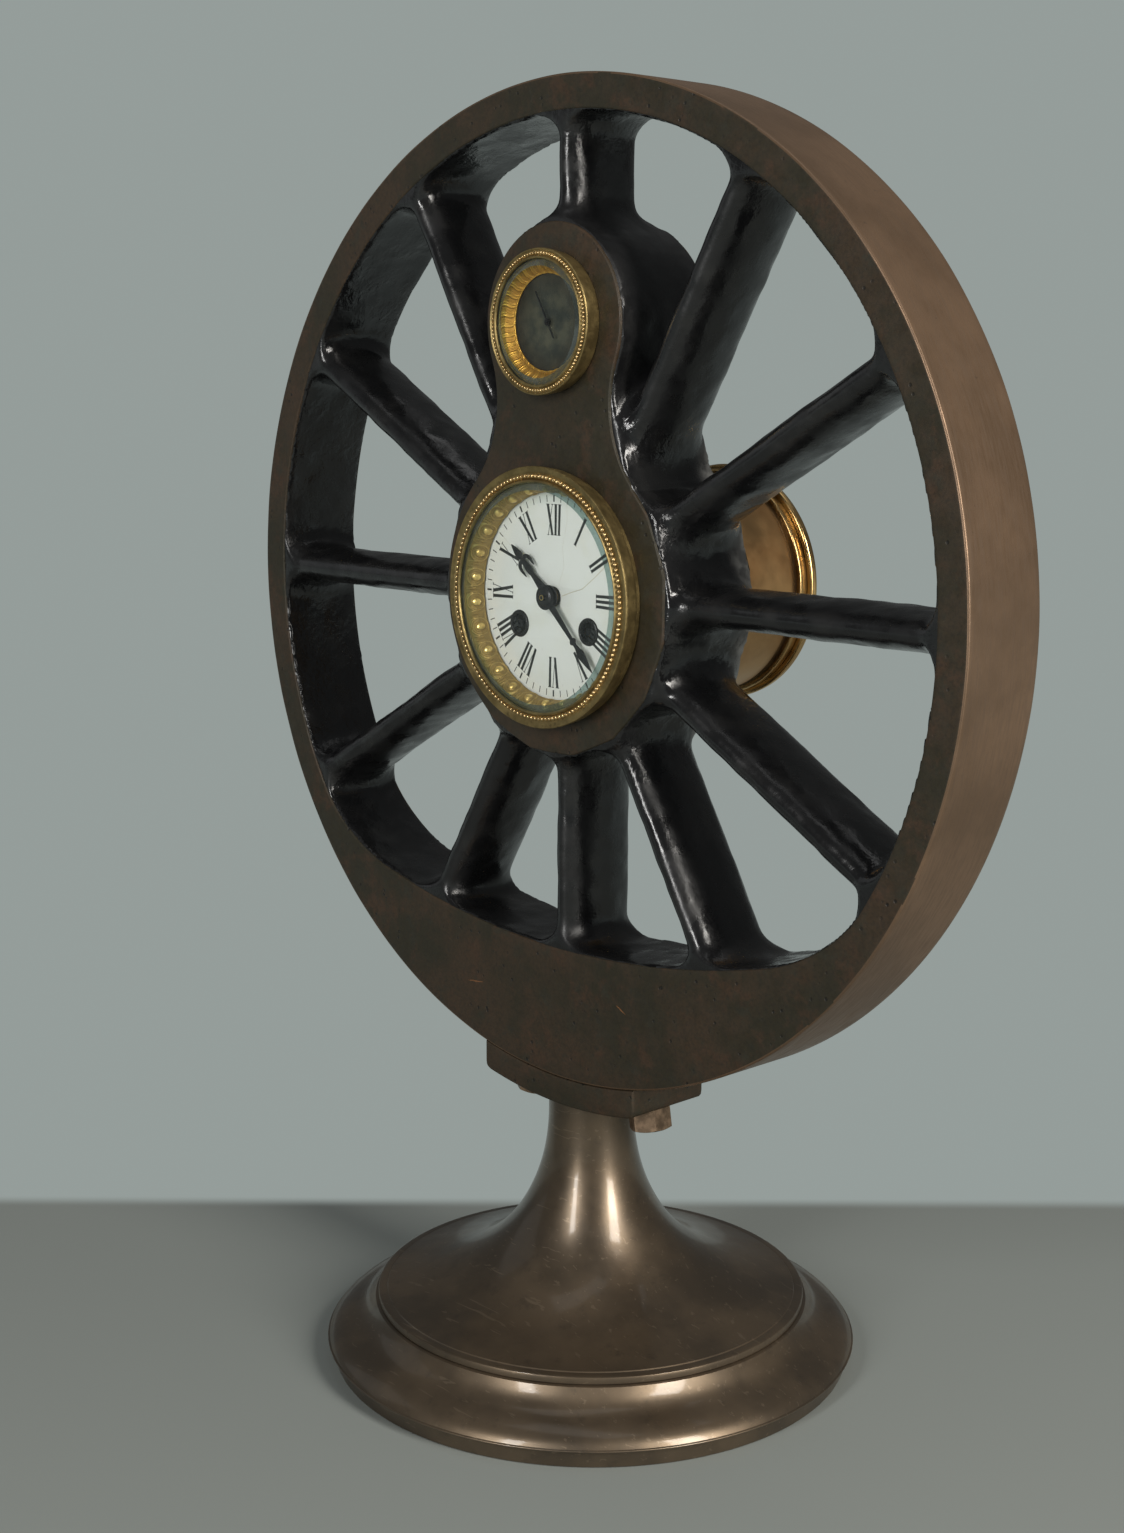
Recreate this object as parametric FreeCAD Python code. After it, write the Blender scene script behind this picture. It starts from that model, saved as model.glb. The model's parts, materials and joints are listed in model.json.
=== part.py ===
import FreeCAD
import Part
import math
import os

# Mantel clock in the form of a locomotive driving wheel, on a turned trumpet pedestal.
# Millimetres. +Z is up and the front faces -Y. The origin is the centre of the foot's underside.
# The clock movement fills a brass drum in the wheel's hub, and a small aneroid barometer fills
# the crank-pin boss above it. Every arbor of both trains is parallel to Y.

V = FreeCAD.Vector
AXIS_Y = V(0, 1, 0)
AXIS_Z = V(0, 0, 1)
FULL_TURN = 360.0

# ---------------------------------------------------------------- wheel
WHEEL_RADIUS = 218.0
WHEEL_HALF_DEPTH = 22.1
RIM_INNER_RADIUS = 203.3
WHEEL_CENTRE_Z = 353.1
SPOKE_COUNT = 12
SPOKE_WIDTH = 17.0
SPOKE_DEPTH = 41.0
CRESCENT_RADIUS = 470.0
CRESCENT_TOP = -158.0
CRESCENT_FILLET = 15.0
HUB_RADIUS = 69.4
HUB_HALF_DEPTH = 26.5
BOSS_RADIUS = 41.7
BOSS_HEIGHT = 116.4
WAIST_HALF_WIDTH = 35.5

# ---------------------------------------------------------------- stand
FOOT_TOP = 27.0
FOOT_BOTTOM_RADIUS = 119.0
FOOT_PLINTH_RADIUS = 120.0
FOOT_PLINTH_HEIGHT = 8.4
FOOT_WIDEST_RADIUS = 122.7
FOOT_WALL = 9.0
FOOT_WEB = 6.0
DISC_RADIUS = 99.0
DISC_EDGE_TOP = 31.0
FLARE_SCALE = 2046.0
FLARE_BASE_Z = 10.0
FLARE_INSET = 2.9
FLARE_TOP = 118.0
NECK_RADIUS = 19.65
NECK_SWELL = 0.0025
NECK_SWELL_FROM = 80.0
COLUMN_WALL = 6.0
COLUMN_SOLID_FROM = 72.0
ROD_RADIUS = 5.0
ROD_HOLE_RADIUS = 5.2
SADDLE_OUTER_RADIUS = 230.6
SADDLE_HALF_WIDTH = 49.0
SADDLE_CORNER = 3.0
BOLT_OFFSET = 37.0
BOLT_FLATS = 17.0
BOLT_HEAD = 10.0
BOLT_RADIUS = 5.0
BOLT_DEPTH = 14.0

# ---------------------------------------------------------------- main dial and bezel
DRUM_RADIUS = 50.0
DRUM_WALL = 1.2
DRUM_REAR = 80.0
HUB_BORE_RADIUS = 50.1
SEAT_RADIUS = 54.6
SEAT_INNER_RADIUS = 46.6
SEAT_FRONT = -28.5
BEZEL_REAR = -28.7
BEZEL_FRONT = -37.2
BEZEL_REAR_RADIUS = 54.8
BEZEL_RADIUS = 56.5
BEZEL_LIP_RADIUS = 51.0
GLASS_RADIUS = 51.4
GLASS_BEVEL = 5.0
GLASS_FRONT = -36.6
GLASS_REAR = -33.2
DIAL_RADIUS = 46.4
DIAL_SIGHT_RADIUS = 44.8
DIAL_FRONT = -24.7
DIAL_REAR = -23.7
DIAL_BACKING_REAR = -22.9
WINDING_X = 22.0
WINDING_Z = -13.5
COLLET_RADIUS = 6.0
HOUR_HAND_LENGTH = 32.3
MINUTE_HAND_LENGTH = 41.9
HOUR = 10
MINUTE = 22.6
BEZEL_HINGE_X = -58.8
BEZEL_HINGE_Y = -30.0
HINGE_RADIUS = 1.9
HINGE_PIN_RADIUS = 0.8
HINGE_PIN_HOLE = 0.85

# ---------------------------------------------------------------- rear of the drum
REAR_RING_FRONT = 77.5
REAR_RING_REAR = 82.4
REAR_RING_RADIUS = 52.2
DOOR_FRONT = 82.8
DOOR_REAR = 88.0
DOOR_RADIUS = 54.3
DOOR_HINGE_X = -57.0
DOOR_HINGE_Y = 82.6
STRAP_X = 46.9
STRAP_WIDTH = 7.0
STRAP_THICKNESS = 1.2
SCREW_X = 44.5
SCREW_RADIUS = 1.4

# ---------------------------------------------------------------- barometer
BARO_BORE_RADIUS = 24.6
BARO_CASE_RADIUS = 24.5
BARO_CASE_REAR = -4.0
BARO_BEZEL_RADIUS = 30.5
BARO_BEZEL_REAR_RADIUS = 29.3
BARO_BEZEL_FRONT = -35.6
BARO_GLASS_RADIUS = 27.3
BARO_DIAL_FRONT = -28.0
BARO_SIGHT_RADIUS = 20.4
BARO_HAND_ANGLE = 120.0

# ---------------------------------------------------------------- movement
PLATE_RADIUS = 42.0
FRONT_PLATE = (-17.0, -15.2)
BACK_PLATE = (11.0, 12.8)
PILLARS = ((34.0, 13.0), (-37.3, 7.0), (0.0, -37.0), (23.0, 30.0))
PILLAR_RADIUS = 2.0
PIVOT_RADIUS = 0.5
ARBOR_RADIUS = 0.8
PIVOT_PLAY = 0.05
RUNNING_PLAY = 0.08
BARREL_RADIUS = 17.6
BARREL_FRONT = -12.5
BARREL_TEETH_Y = (1.0, 2.6)
CENTRE_ARBOR_RADIUS = 1.2
CANNON_RADIUS = 2.2
HOUR_PIPE_RADIUS = 3.3

# tooth counts and modules of each meshing pair
BARREL_TEETH = 84
BARREL_PINION = 12
BARREL_MODULE = 0.45
SECOND_TEETH = 72
SECOND_PINION = 12
SECOND_MODULE = 0.40
CENTRE_TEETH = 80
THIRD_PINION = 10
CENTRE_MODULE = 0.35
THIRD_TEETH = 75
FOURTH_PINION = 10
THIRD_MODULE = 0.30
FOURTH_TEETH = 70
ESCAPE_PINION = 7
FOURTH_MODULE = 0.25
PIN_WHEEL_TEETH = 60
LOCKING_PINION = 8
PIN_WHEEL_MODULE = 0.35
LOCKING_TEETH = 56
FLY_PINION = 7
LOCKING_MODULE = 0.25
CANNON_TEETH = 24
MINUTE_WHEEL_TEETH = 72
CANNON_MODULE = 0.30
MINUTE_PINION = 18
HOUR_WHEEL_TEETH = 72
HOUR_MODULE = 0.32
LIFTING_PINS = 10
LIFTING_PIN_CIRCLE = 8.6

# escapement and strike
ESCAPE_TEETH = 15
ESCAPE_RADIUS = 4.2
PALLET_DISTANCE = 5.2
LEVER_LENGTH = 7.6
BALANCE_RADIUS = 7.0
BELL_RADIUS = 30.0
BELL_MOUTH = 38.0
BELL_TOP = 60.0
HAMMER_CENTRE = (-9.0, 37.0)
HAMMER_HEAD = (-30.6, 17.7)
HAMMER_HEAD_RADIUS = 4.0
BELL_POST = (0.0, -24.0)
COUNT_WHEEL_RADIUS = 13.0


# ================================================================ basic shapes

def cylinder_y(radius, y0, y1, x=0.0, z=0.0):
    """A cylinder along Y whose axis passes (x, z) from the wheel's centre."""
    base = V(x, y0, WHEEL_CENTRE_Z + z)
    return Part.makeCylinder(radius, y1 - y0, base, AXIS_Y)


def ring_y(outer, inner, y0, y1, x=0.0, z=0.0):
    return cylinder_y(outer, y0, y1, x, z).cut(cylinder_y(inner, y0 - 1, y1 + 1, x, z))


def cylinder_z(radius, z0, z1, x=0.0, y=0.0):
    return Part.makeCylinder(radius, z1 - z0, V(x, y, z0), AXIS_Z)


def box(x0, x1, y0, y1, z0, z1):
    return Part.makeBox(x1 - x0, y1 - y0, z1 - z0, V(x0, y0, z0))


def fuse(shapes):
    return shapes[0].multiFuse(shapes[1:]).removeSplitter()


def outline(points):
    """A closed wire. Each item is a corner, or a (middle, end) pair reached by an arc."""
    edges = []
    here = points[0]
    for item in points[1:]:
        if isinstance(item, tuple):
            edges.append(Part.Arc(here, item[0], item[1]).toShape())
            here = item[1]
        else:
            edges.append(Part.LineSegment(here, item).toShape())
            here = item
    if here.distanceToPoint(points[0]) > 1e-6:
        edges.append(Part.LineSegment(here, points[0]).toShape())
    return Part.Wire(edges)


def placed(profile, place):
    """A profile of (radius, height) items, arcs as pairs of them, put in space by place()."""
    items = []
    for item in profile:
        if isinstance(item[0], tuple):
            items.append((place(item[0]), place(item[1])))
        else:
            items.append(place(item))
    return items


def turned_y(profile, x=0.0, z=0.0):
    """A solid turned about Y at (x, z) from the wheel's centre. The profile is (radius, y)."""
    points = placed(profile, lambda p: V(x + p[0], p[1], WHEEL_CENTRE_Z + z))
    return Part.Face(outline(points)).revolve(V(x, 0, WHEEL_CENTRE_Z + z), AXIS_Y, FULL_TURN)


def turned_z(profile):
    """A solid turned about Z. The profile is (radius, z)."""
    points = placed(profile, lambda p: V(p[0], 0, p[1]))
    return Part.Face(outline(points)).revolve(V(0, 0, 0), AXIS_Z, FULL_TURN)


def plate_y(profile, y0, y1, x=0.0, z=0.0):
    """A flat plate between y0 and y1. The profile is (x, z) items from (x, z)."""
    points = placed(profile, lambda p: V(x + p[0], y0, WHEEL_CENTRE_Z + z + p[1]))
    return Part.Face(outline(points)).extrude(V(0, y1 - y0, 0))


def bar_y(start, end, width, y0, y1):
    """A flat bar with round ends between two (x, z) points."""
    angle = math.atan2(end[1] - start[1], end[0] - start[0])
    length = math.dist(start, end)
    half = width / 2
    bar = box(0, length, y0, y1, -half, half)
    bar.rotate(V(0, 0, 0), AXIS_Y, -math.degrees(angle))
    bar.translate(V(start[0], 0, WHEEL_CENTRE_Z + start[1]))
    ends = [cylinder_y(half, y0, y1, *point) for point in (start, end)]
    return fuse([bar] + ends)


def hexagon_z(flats, z0, z1, x=0.0, y=0.0):
    """A hexagonal prism along Z with a chamfered lower end, as on a bolt's head."""
    corner = flats / math.sqrt(3)
    points = [V(x + corner * math.cos(math.radians(60 * k)),
                y + corner * math.sin(math.radians(60 * k)), z0) for k in range(6)]
    height = z1 - z0
    chamfer = corner * 0.25
    cone = Part.makeCone(corner - chamfer, corner + height - chamfer, height, V(x, y, z0), AXIS_Z)
    return Part.Face(outline(points)).extrude(V(0, 0, height)).common(cone)


def polar(radius, degrees):
    """A point (x, z) at an angle counted from +X towards +Z."""
    return (radius * math.cos(math.radians(degrees)), radius * math.sin(math.radians(degrees)))


# ================================================================ stand

def pedestal_foot():
    """The moulded foot ring, hollow underneath, with a web that the column is bolted to."""
    widest_z = FOOT_PLINTH_HEIGHT + 0.9
    profile = [(FOOT_BOTTOM_RADIUS, 0), (FOOT_PLINTH_RADIUS, FOOT_PLINTH_HEIGHT),
               (FOOT_WIDEST_RADIUS - 0.6, FOOT_PLINTH_HEIGHT),
               ((FOOT_WIDEST_RADIUS, widest_z - 0.4), (FOOT_WIDEST_RADIUS - 0.4, widest_z)),
               ((118.2, 12.7), (111.5, 16.6)),
               ((104.2, 20.8), (100.2, FOOT_TOP)),
               (ROD_HOLE_RADIUS, FOOT_TOP), (ROD_HOLE_RADIUS, FOOT_TOP - FOOT_WEB),
               (91.0, FOOT_TOP - FOOT_WEB), (FOOT_BOTTOM_RADIUS - FOOT_WALL - 6.0, 10.0),
               (FOOT_BOTTOM_RADIUS - FOOT_WALL, 0)]
    return turned_z(profile)


def flare_radius(z):
    """The trumpet's radius at a height, a little fuller towards the neck."""
    swell = NECK_SWELL * max(0.0, z - NECK_SWELL_FROM) ** 2
    return FLARE_SCALE / (z - FLARE_BASE_Z) - FLARE_INSET + swell


def pedestal_column():
    """The trumpet column with its thin disc edge, cast hollow, cut to fit under the saddle."""
    top = WHEEL_CENTRE_Z - SADDLE_OUTER_RADIUS + 2.0
    heights = [DISC_EDGE_TOP + (FLARE_TOP - DISC_EDGE_TOP) * (k / 12) ** 1.6 for k in range(13)]
    flare = Part.BSplineCurve()
    flare.interpolate([V(flare_radius(z), 0, z) for z in heights])
    rim_top = DISC_EDGE_TOP - 0.4
    corners = [V(flare_radius(DISC_EDGE_TOP), 0, rim_top), V(DISC_RADIUS - 0.8, 0, rim_top - 0.3),
               V(DISC_RADIUS, 0, rim_top - 1.2), V(DISC_RADIUS, 0, FOOT_TOP), V(0, 0, FOOT_TOP),
               V(0, 0, top), V(NECK_RADIUS, 0, top), V(flare_radius(FLARE_TOP), 0, FLARE_TOP)]
    edges = [Part.LineSegment(a, b).toShape() for a, b in zip(corners, corners[1:])]
    edges.append(Part.LineSegment(V(flare_radius(DISC_EDGE_TOP), 0, DISC_EDGE_TOP), corners[0]).toShape())
    edges.append(flare.toShape())
    body = Part.Face(Part.Wire(Part.__sortEdges__(edges))).revolve(V(0, 0, 0), AXIS_Z, FULL_TURN)
    hollow = turned_z([(0, FOOT_TOP - 1), (flare_radius(DISC_EDGE_TOP) - 14.0, FOOT_TOP - 1),
                       (flare_radius(38.0) - COLUMN_WALL - 2.0, 34.0),
                       (flare_radius(52.0) - COLUMN_WALL - 2.0, 48.0),
                       (flare_radius(COLUMN_SOLID_FROM) - COLUMN_WALL - 3.0, COLUMN_SOLID_FROM),
                       (0, COLUMN_SOLID_FROM)])
    seat = cylinder_y(SADDLE_OUTER_RADIUS, -HUB_RADIUS, HUB_RADIUS)
    bore = cylinder_z(ROD_HOLE_RADIUS, FOOT_TOP - 1, top + 1)
    return body.cut(hollow).cut(seat).cut(bore)


def column_stud():
    """The long stud that clamps foot, column and saddle together, with its washer and nut."""
    top = WHEEL_CENTRE_Z - WHEEL_RADIUS - 2.5
    web = FOOT_TOP - FOOT_WEB
    stud = cylinder_z(ROD_RADIUS, web - 13.0, top)
    washer = cylinder_z(14.0, web - 2.0, web).cut(cylinder_z(ROD_HOLE_RADIUS, web - 3, web + 1))
    nut = hexagon_z(BOLT_FLATS, web - 10.5, web - 2.0)
    nut = nut.cut(cylinder_z(ROD_RADIUS + 0.02, web - 12, web))
    return Part.makeCompound([stud, washer, nut])


def saddle():
    """The curved block that the wheel stands in, tapped for the stud and drilled for two bolts."""
    block = box(-SADDLE_HALF_WIDTH, SADDLE_HALF_WIDTH, -WHEEL_HALF_DEPTH, WHEEL_HALF_DEPTH,
                WHEEL_CENTRE_Z - SADDLE_OUTER_RADIUS - 1, WHEEL_CENTRE_Z - WHEEL_RADIUS * 0.95)
    sector = block.common(ring_y(SADDLE_OUTER_RADIUS, WHEEL_RADIUS, -WHEEL_HALF_DEPTH, WHEEL_HALF_DEPTH))
    low_z = WHEEL_CENTRE_Z - math.sqrt(SADDLE_OUTER_RADIUS ** 2 - SADDLE_HALF_WIDTH ** 2)
    corners = [e for e in sector.Edges
               if abs(e.CenterOfMass.z - low_z) < 0.5 and abs(e.CenterOfMass.x) > SADDLE_HALF_WIDTH - 0.5]
    sector = sector.makeFillet(SADDLE_CORNER, corners)
    sector = sector.cut(cylinder_z(ROD_RADIUS + 0.02, 100, WHEEL_CENTRE_Z - WHEEL_RADIUS - 2.5))
    for side in (-1, 1):
        sector = sector.cut(bolt_hole(side))
    return sector


def bolt_angle():
    return math.degrees(math.asin(BOLT_OFFSET / SADDLE_OUTER_RADIUS))


def radial(shape, side):
    """Swing a shape built under the wheel's centre to the left or right bolt's place."""
    shape.rotate(V(0, 0, WHEEL_CENTRE_Z), AXIS_Y, -side * bolt_angle())
    return shape


def bolt_hole(side):
    bearing = WHEEL_CENTRE_Z - SADDLE_OUTER_RADIUS
    top = WHEEL_CENTRE_Z - WHEEL_RADIUS + BOLT_DEPTH
    return radial(cylinder_z(BOLT_RADIUS + 0.05, bearing - 2, top + 0.5), side)


def saddle_bolts():
    """Two hexagon bolts, square to the tread, that hold the wheel down on the saddle."""
    bolts = []
    bearing = WHEEL_CENTRE_Z - SADDLE_OUTER_RADIUS - 0.7
    for side in (-1, 1):
        head = hexagon_z(BOLT_FLATS, bearing - BOLT_HEAD, bearing)
        shank = cylinder_z(BOLT_RADIUS, bearing - 1, WHEEL_CENTRE_Z - WHEEL_RADIUS + BOLT_DEPTH)
        bolts.append(radial(head.fuse(shank), side).cut(saddle_curve()))
    return Part.makeCompound(bolts)


def saddle_curve():
    """What the bolt heads bed against: the saddle's own underside, without its holes."""
    ring = ring_y(SADDLE_OUTER_RADIUS, SADDLE_OUTER_RADIUS - 1.5, -WHEEL_HALF_DEPTH, WHEEL_HALF_DEPTH)
    for side in (-1, 1):
        ring = ring.cut(bolt_hole(side))
    return ring


# ================================================================ wheel

def wheel_rim():
    rim = ring_y(WHEEL_RADIUS, RIM_INNER_RADIUS, -WHEEL_HALF_DEPTH, WHEEL_HALF_DEPTH)
    for side in (-1, 1):
        rim = rim.cut(bolt_hole(side))
    return rim


def crescent_solid():
    """The balance weight between the rim and a flatter arc, with rounded inner corners."""
    arc_centre = CRESCENT_TOP + CRESCENT_RADIUS
    weight = cylinder_y(RIM_INNER_RADIUS, -WHEEL_HALF_DEPTH, WHEEL_HALF_DEPTH)
    weight = weight.cut(cylinder_y(CRESCENT_RADIUS, -HUB_RADIUS, HUB_RADIUS, 0, arc_centre))
    near = RIM_INNER_RADIUS - CRESCENT_FILLET
    far = CRESCENT_RADIUS - CRESCENT_FILLET
    z = (near ** 2 - far ** 2 + arc_centre ** 2) / (2 * arc_centre)
    x = math.sqrt(near ** 2 - z ** 2)
    rim_touch = (x * RIM_INNER_RADIUS / near, z * RIM_INNER_RADIUS / near)
    arc_touch = (x * CRESCENT_RADIUS / far, arc_centre + (z - arc_centre) * CRESCENT_RADIUS / far)
    cusp_z = (RIM_INNER_RADIUS ** 2 - CRESCENT_RADIUS ** 2 + arc_centre ** 2) / (2 * arc_centre)
    cusp = (math.sqrt(RIM_INNER_RADIUS ** 2 - cusp_z ** 2), cusp_z)
    below_arc = ((cusp[0] + arc_touch[0]) / 2, (cusp[1] + arc_touch[1]) / 2 - CRESCENT_FILLET / 2)
    for side in (-1, 1):
        web = plate_y([(side * p[0], p[1]) for p in (rim_touch, cusp, below_arc, arc_touch)],
                      -WHEEL_HALF_DEPTH, WHEEL_HALF_DEPTH)
        web = web.common(cylinder_y(RIM_INNER_RADIUS, -HUB_RADIUS, HUB_RADIUS))
        web = web.cut(cylinder_y(CRESCENT_FILLET, -HUB_RADIUS, HUB_RADIUS, side * x, z))
        weight = weight.fuse(web)
    return weight.removeSplitter()


def wheel_counterweight():
    weight = crescent_solid()
    for side in (-1, 1):
        weight = weight.cut(bolt_hole(side))
    return weight


def waist_circle():
    """Radius and (x, z) centre of the hollow blend that joins hub and boss."""
    a = HUB_RADIUS
    b = BOSS_RADIUS
    h = BOSS_HEIGHT
    w = WAIST_HALF_WIDTH
    slope = (a - b) / h
    level = (h * h + a * a - b * b) / (2 * h)
    square = slope ** 2
    linear = 2 * w + 2 * slope * level - 2 * a
    constant = w * w + level ** 2 - a * a
    radius = (-linear - math.sqrt(linear ** 2 - 4 * square * constant)) / (2 * square)
    return radius, w + radius, level + slope * radius


def hub_solid():
    """Hub and crank-pin boss in one outline, joined by a hollow waist on each side."""
    radius, x, z = waist_circle()
    low = (x * HUB_RADIUS / (HUB_RADIUS + radius), z * HUB_RADIUS / (HUB_RADIUS + radius))
    reach = BOSS_RADIUS / (BOSS_RADIUS + radius)
    high = (x * reach, BOSS_HEIGHT + (z - BOSS_HEIGHT) * reach)
    waist = (x - radius, z)
    profile = [low, (waist, high), ((0, BOSS_HEIGHT + BOSS_RADIUS), (-high[0], high[1])),
               ((-waist[0], z), (-low[0], low[1])), ((0, -HUB_RADIUS), low)]
    return plate_y(profile, -HUB_HALF_DEPTH, HUB_HALF_DEPTH)


def wheel_hub():
    hub = hub_solid().cut(cylinder_y(HUB_BORE_RADIUS, -HUB_RADIUS, HUB_RADIUS))
    baro_bore = cylinder_y(BARO_BORE_RADIUS, -HUB_RADIUS, 0, 0, BOSS_HEIGHT)
    return hub.cut(baro_bore)


def wheel_spokes():
    """Twelve oval spokes, each running from the hub to the rim or to the balance weight."""
    ellipse = Part.Ellipse(V(0, 0, 0), SPOKE_DEPTH / 2, SPOKE_WIDTH / 2)
    face = Part.Face(Part.Wire([ellipse.toShape()]))
    face.rotate(V(0, 0, 0), AXIS_Z, 90)
    hub = hub_solid()
    weight = crescent_solid()
    inside_rim = cylinder_y(RIM_INNER_RADIUS, -HUB_RADIUS, HUB_RADIUS)
    spokes = []
    for k in range(SPOKE_COUNT):
        spoke = face.extrude(V(0, 0, WHEEL_RADIUS - WAIST_HALF_WIDTH))
        spoke.translate(V(0, 0, WHEEL_CENTRE_Z + WAIST_HALF_WIDTH))
        spoke.rotate(V(0, 0, WHEEL_CENTRE_Z), AXIS_Y, k * FULL_TURN / SPOKE_COUNT)
        spoke = spoke.common(inside_rim).cut(hub).cut(weight)
        spokes.append(max(spoke.Solids, key=lambda s: s.Volume))
    return Part.makeCompound(spokes)


# ================================================================ main dial and bezel

def dial_seat_ring():
    """The fixed brass ring on the hub's face, with a spigot inside the drum and two knuckles."""
    ring = turned_y([(SEAT_INNER_RADIUS, SEAT_FRONT), (SEAT_RADIUS, SEAT_FRONT),
                     (SEAT_RADIUS, -HUB_HALF_DEPTH), (48.6, -HUB_HALF_DEPTH), (48.6, -20.0),
                     (SEAT_INNER_RADIUS + 0.4, -20.0), (SEAT_INNER_RADIUS + 0.4, DIAL_REAR),
                     (SEAT_INNER_RADIUS, DIAL_REAR)])
    pieces = [ring]
    for low, high in ((-8.5, -4.2), (4.2, 8.5)):
        pieces.append(hinge_knuckle(BEZEL_HINGE_X, BEZEL_HINGE_Y, HINGE_RADIUS, low, high))
        z0 = WHEEL_CENTRE_Z + low
        pieces.append(box(BEZEL_HINGE_X, -53.0, SEAT_FRONT, -HUB_HALF_DEPTH - 0.2, z0, z0 + high - low))
    return drilled(fuse(pieces), BEZEL_HINGE_X, BEZEL_HINGE_Y)


def hinge_knuckle(x, y, radius, low, high):
    return cylinder_z(radius, WHEEL_CENTRE_Z + low, WHEEL_CENTRE_Z + high, x, y)


def drilled(shape, x, y):
    """Open a hinge's pin hole through a shape at the wheel centre's height."""
    hole = cylinder_z(HINGE_PIN_HOLE, WHEEL_CENTRE_Z - 20, WHEEL_CENTRE_Z + 20, x, y)
    return shape.cut(hole)


def bezel_ring():
    """The hinged ring that carries the glass, with a bead mould on its front edge."""
    ring = turned_y([(BEZEL_LIP_RADIUS - 1.6, BEZEL_REAR), (BEZEL_REAR_RADIUS, BEZEL_REAR),
                     (BEZEL_RADIUS, -34.6), ((55.9, -36.3), (54.6, -36.9)),
                     ((53.6, BEZEL_FRONT), (52.6, -36.8)), (GLASS_RADIUS + 0.2, -36.2),
                     (GLASS_RADIUS + 0.2, GLASS_REAR), (BEZEL_LIP_RADIUS - 1.6, GLASS_REAR)])
    knuckle = hinge_knuckle(BEZEL_HINGE_X, BEZEL_HINGE_Y, HINGE_RADIUS, -4.0, 4.0)
    tab = box(BEZEL_HINGE_X, -54.0, -31.4, -29.6, WHEEL_CENTRE_Z - 4.0, WHEEL_CENTRE_Z + 4.0)
    return drilled(fuse([ring, knuckle, tab]), BEZEL_HINGE_X, BEZEL_HINGE_Y)


def bezel_glass():
    inner = GLASS_RADIUS - GLASS_BEVEL
    return turned_y([(0, GLASS_FRONT), (inner, GLASS_FRONT), (GLASS_RADIUS, -34.6),
                     (GLASS_RADIUS, GLASS_REAR - 0.02), (0, GLASS_REAR - 0.02)])


def bezel_sight_ring():
    """The thin gilt cone that leads from the glass down to the dial, fixed in the bezel."""
    front = GLASS_REAR + 0.04
    outer = BEZEL_LIP_RADIUS - 1.62
    return turned_y([(outer - 0.5, front), (SEAT_INNER_RADIUS - 0.9, SEAT_FRONT - 0.6), (DIAL_SIGHT_RADIUS, -25.4),
                     (DIAL_SIGHT_RADIUS + 0.9, -25.4), (SEAT_INNER_RADIUS - 0.3, -26.6),
                     (SEAT_INNER_RADIUS - 0.3, SEAT_FRONT - 0.6), (outer, -32.2), (outer, front)])


def dial_disc(radius, y0, y1, centre_hole, winding_hole):
    disc = ring_y(radius, centre_hole, y0, y1)
    for side in (-1, 1):
        disc = disc.cut(cylinder_y(winding_hole, y0 - 1, y1 + 1, side * WINDING_X, WINDING_Z))
    return disc


def dial_enamel():
    return dial_disc(DIAL_RADIUS, DIAL_FRONT, DIAL_REAR, 4.3, 5.15)


def dial_plate():
    """The brass plate behind the enamel, with three feet pinned to the movement's front plate."""
    plate = dial_disc(DIAL_RADIUS, DIAL_REAR, DIAL_BACKING_REAR, 4.5, 5.15)
    feet = [cylinder_y(1.4, DIAL_BACKING_REAR - 0.1, FRONT_PLATE[0], *polar(38.0, angle))
            for angle in (60, 180, 285)]
    return fuse([plate] + feet)


def winding_collets():
    """The two dark eyelets round the dial's winding holes."""
    collets = []
    for side in (-1, 1):
        collets.append(turned_y([(4.3, DIAL_FRONT - 0.5), (COLLET_RADIUS - 0.5, DIAL_FRONT - 0.5),
                                 (COLLET_RADIUS, DIAL_FRONT), (5.1, DIAL_FRONT),
                                 (5.1, DIAL_BACKING_REAR), (4.3, DIAL_BACKING_REAR)],
                                side * WINDING_X, WINDING_Z))
    return Part.makeCompound(collets)


def hand(profile, clock_angle, y0, y1, boss_radius, bore_radius):
    """A flat hand drawn pointing up, given by its right-hand edge, and set to its clock angle."""
    left = [(-x, z) for x, z in reversed(profile)]
    blade = plate_y(profile + left, y0, y1)
    blade = fuse([blade, cylinder_y(boss_radius, y0, y1)])
    blade = blade.cut(cylinder_y(bore_radius, y0 - 1, y1 + 1))
    blade.rotate(V(0, 0, WHEEL_CENTRE_Z), AXIS_Y, clock_angle)
    return blade


def hour_hand():
    profile = [(2.2, 0), (1.7, 8.4), (1.2, 14.2), (1.6, 15.8), (3.9, 16.2), (4.4, 20.2), (3.4, 23.0),
               (0.9, 23.9), (1.9, 25.4), (0.15, HOUR_HAND_LENGTH)]
    angle = (HOUR + MINUTE / 60) * 30
    return hand(profile, angle, -28.0, -27.2, 5.2, 2.75)


def minute_hand():
    profile = [(1.75, 0), (1.25, 15), (0.9, 23.3), (1.9, 24.7), (0.9, 26.1), (1.2, 28.6), (2.1, 31.8),
               (1.3, 36.5), (0.12, MINUTE_HAND_LENGTH)]
    return hand(profile, MINUTE * 6, -29.8, -29.1, 4.4, CANNON_RADIUS - 0.4)


def hand_collet():
    """The domed washer on the centre arbor that presses the minute hand on its square."""
    return turned_y([(CENTRE_ARBOR_RADIUS + PIVOT_PLAY, -30.9), (2.4, -30.9), ((4.6, -30.6), (5.5, -29.85)),
                     (CENTRE_ARBOR_RADIUS + PIVOT_PLAY, -29.85)])


def hand_pin():
    """The taper pin across the tip of the centre arbor."""
    return Part.makeCone(0.45, 0.32, 6.4, V(-3.2, -31.45, WHEEL_CENTRE_Z), V(1, 0, 0))


# ================================================================ barometer in the boss

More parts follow.
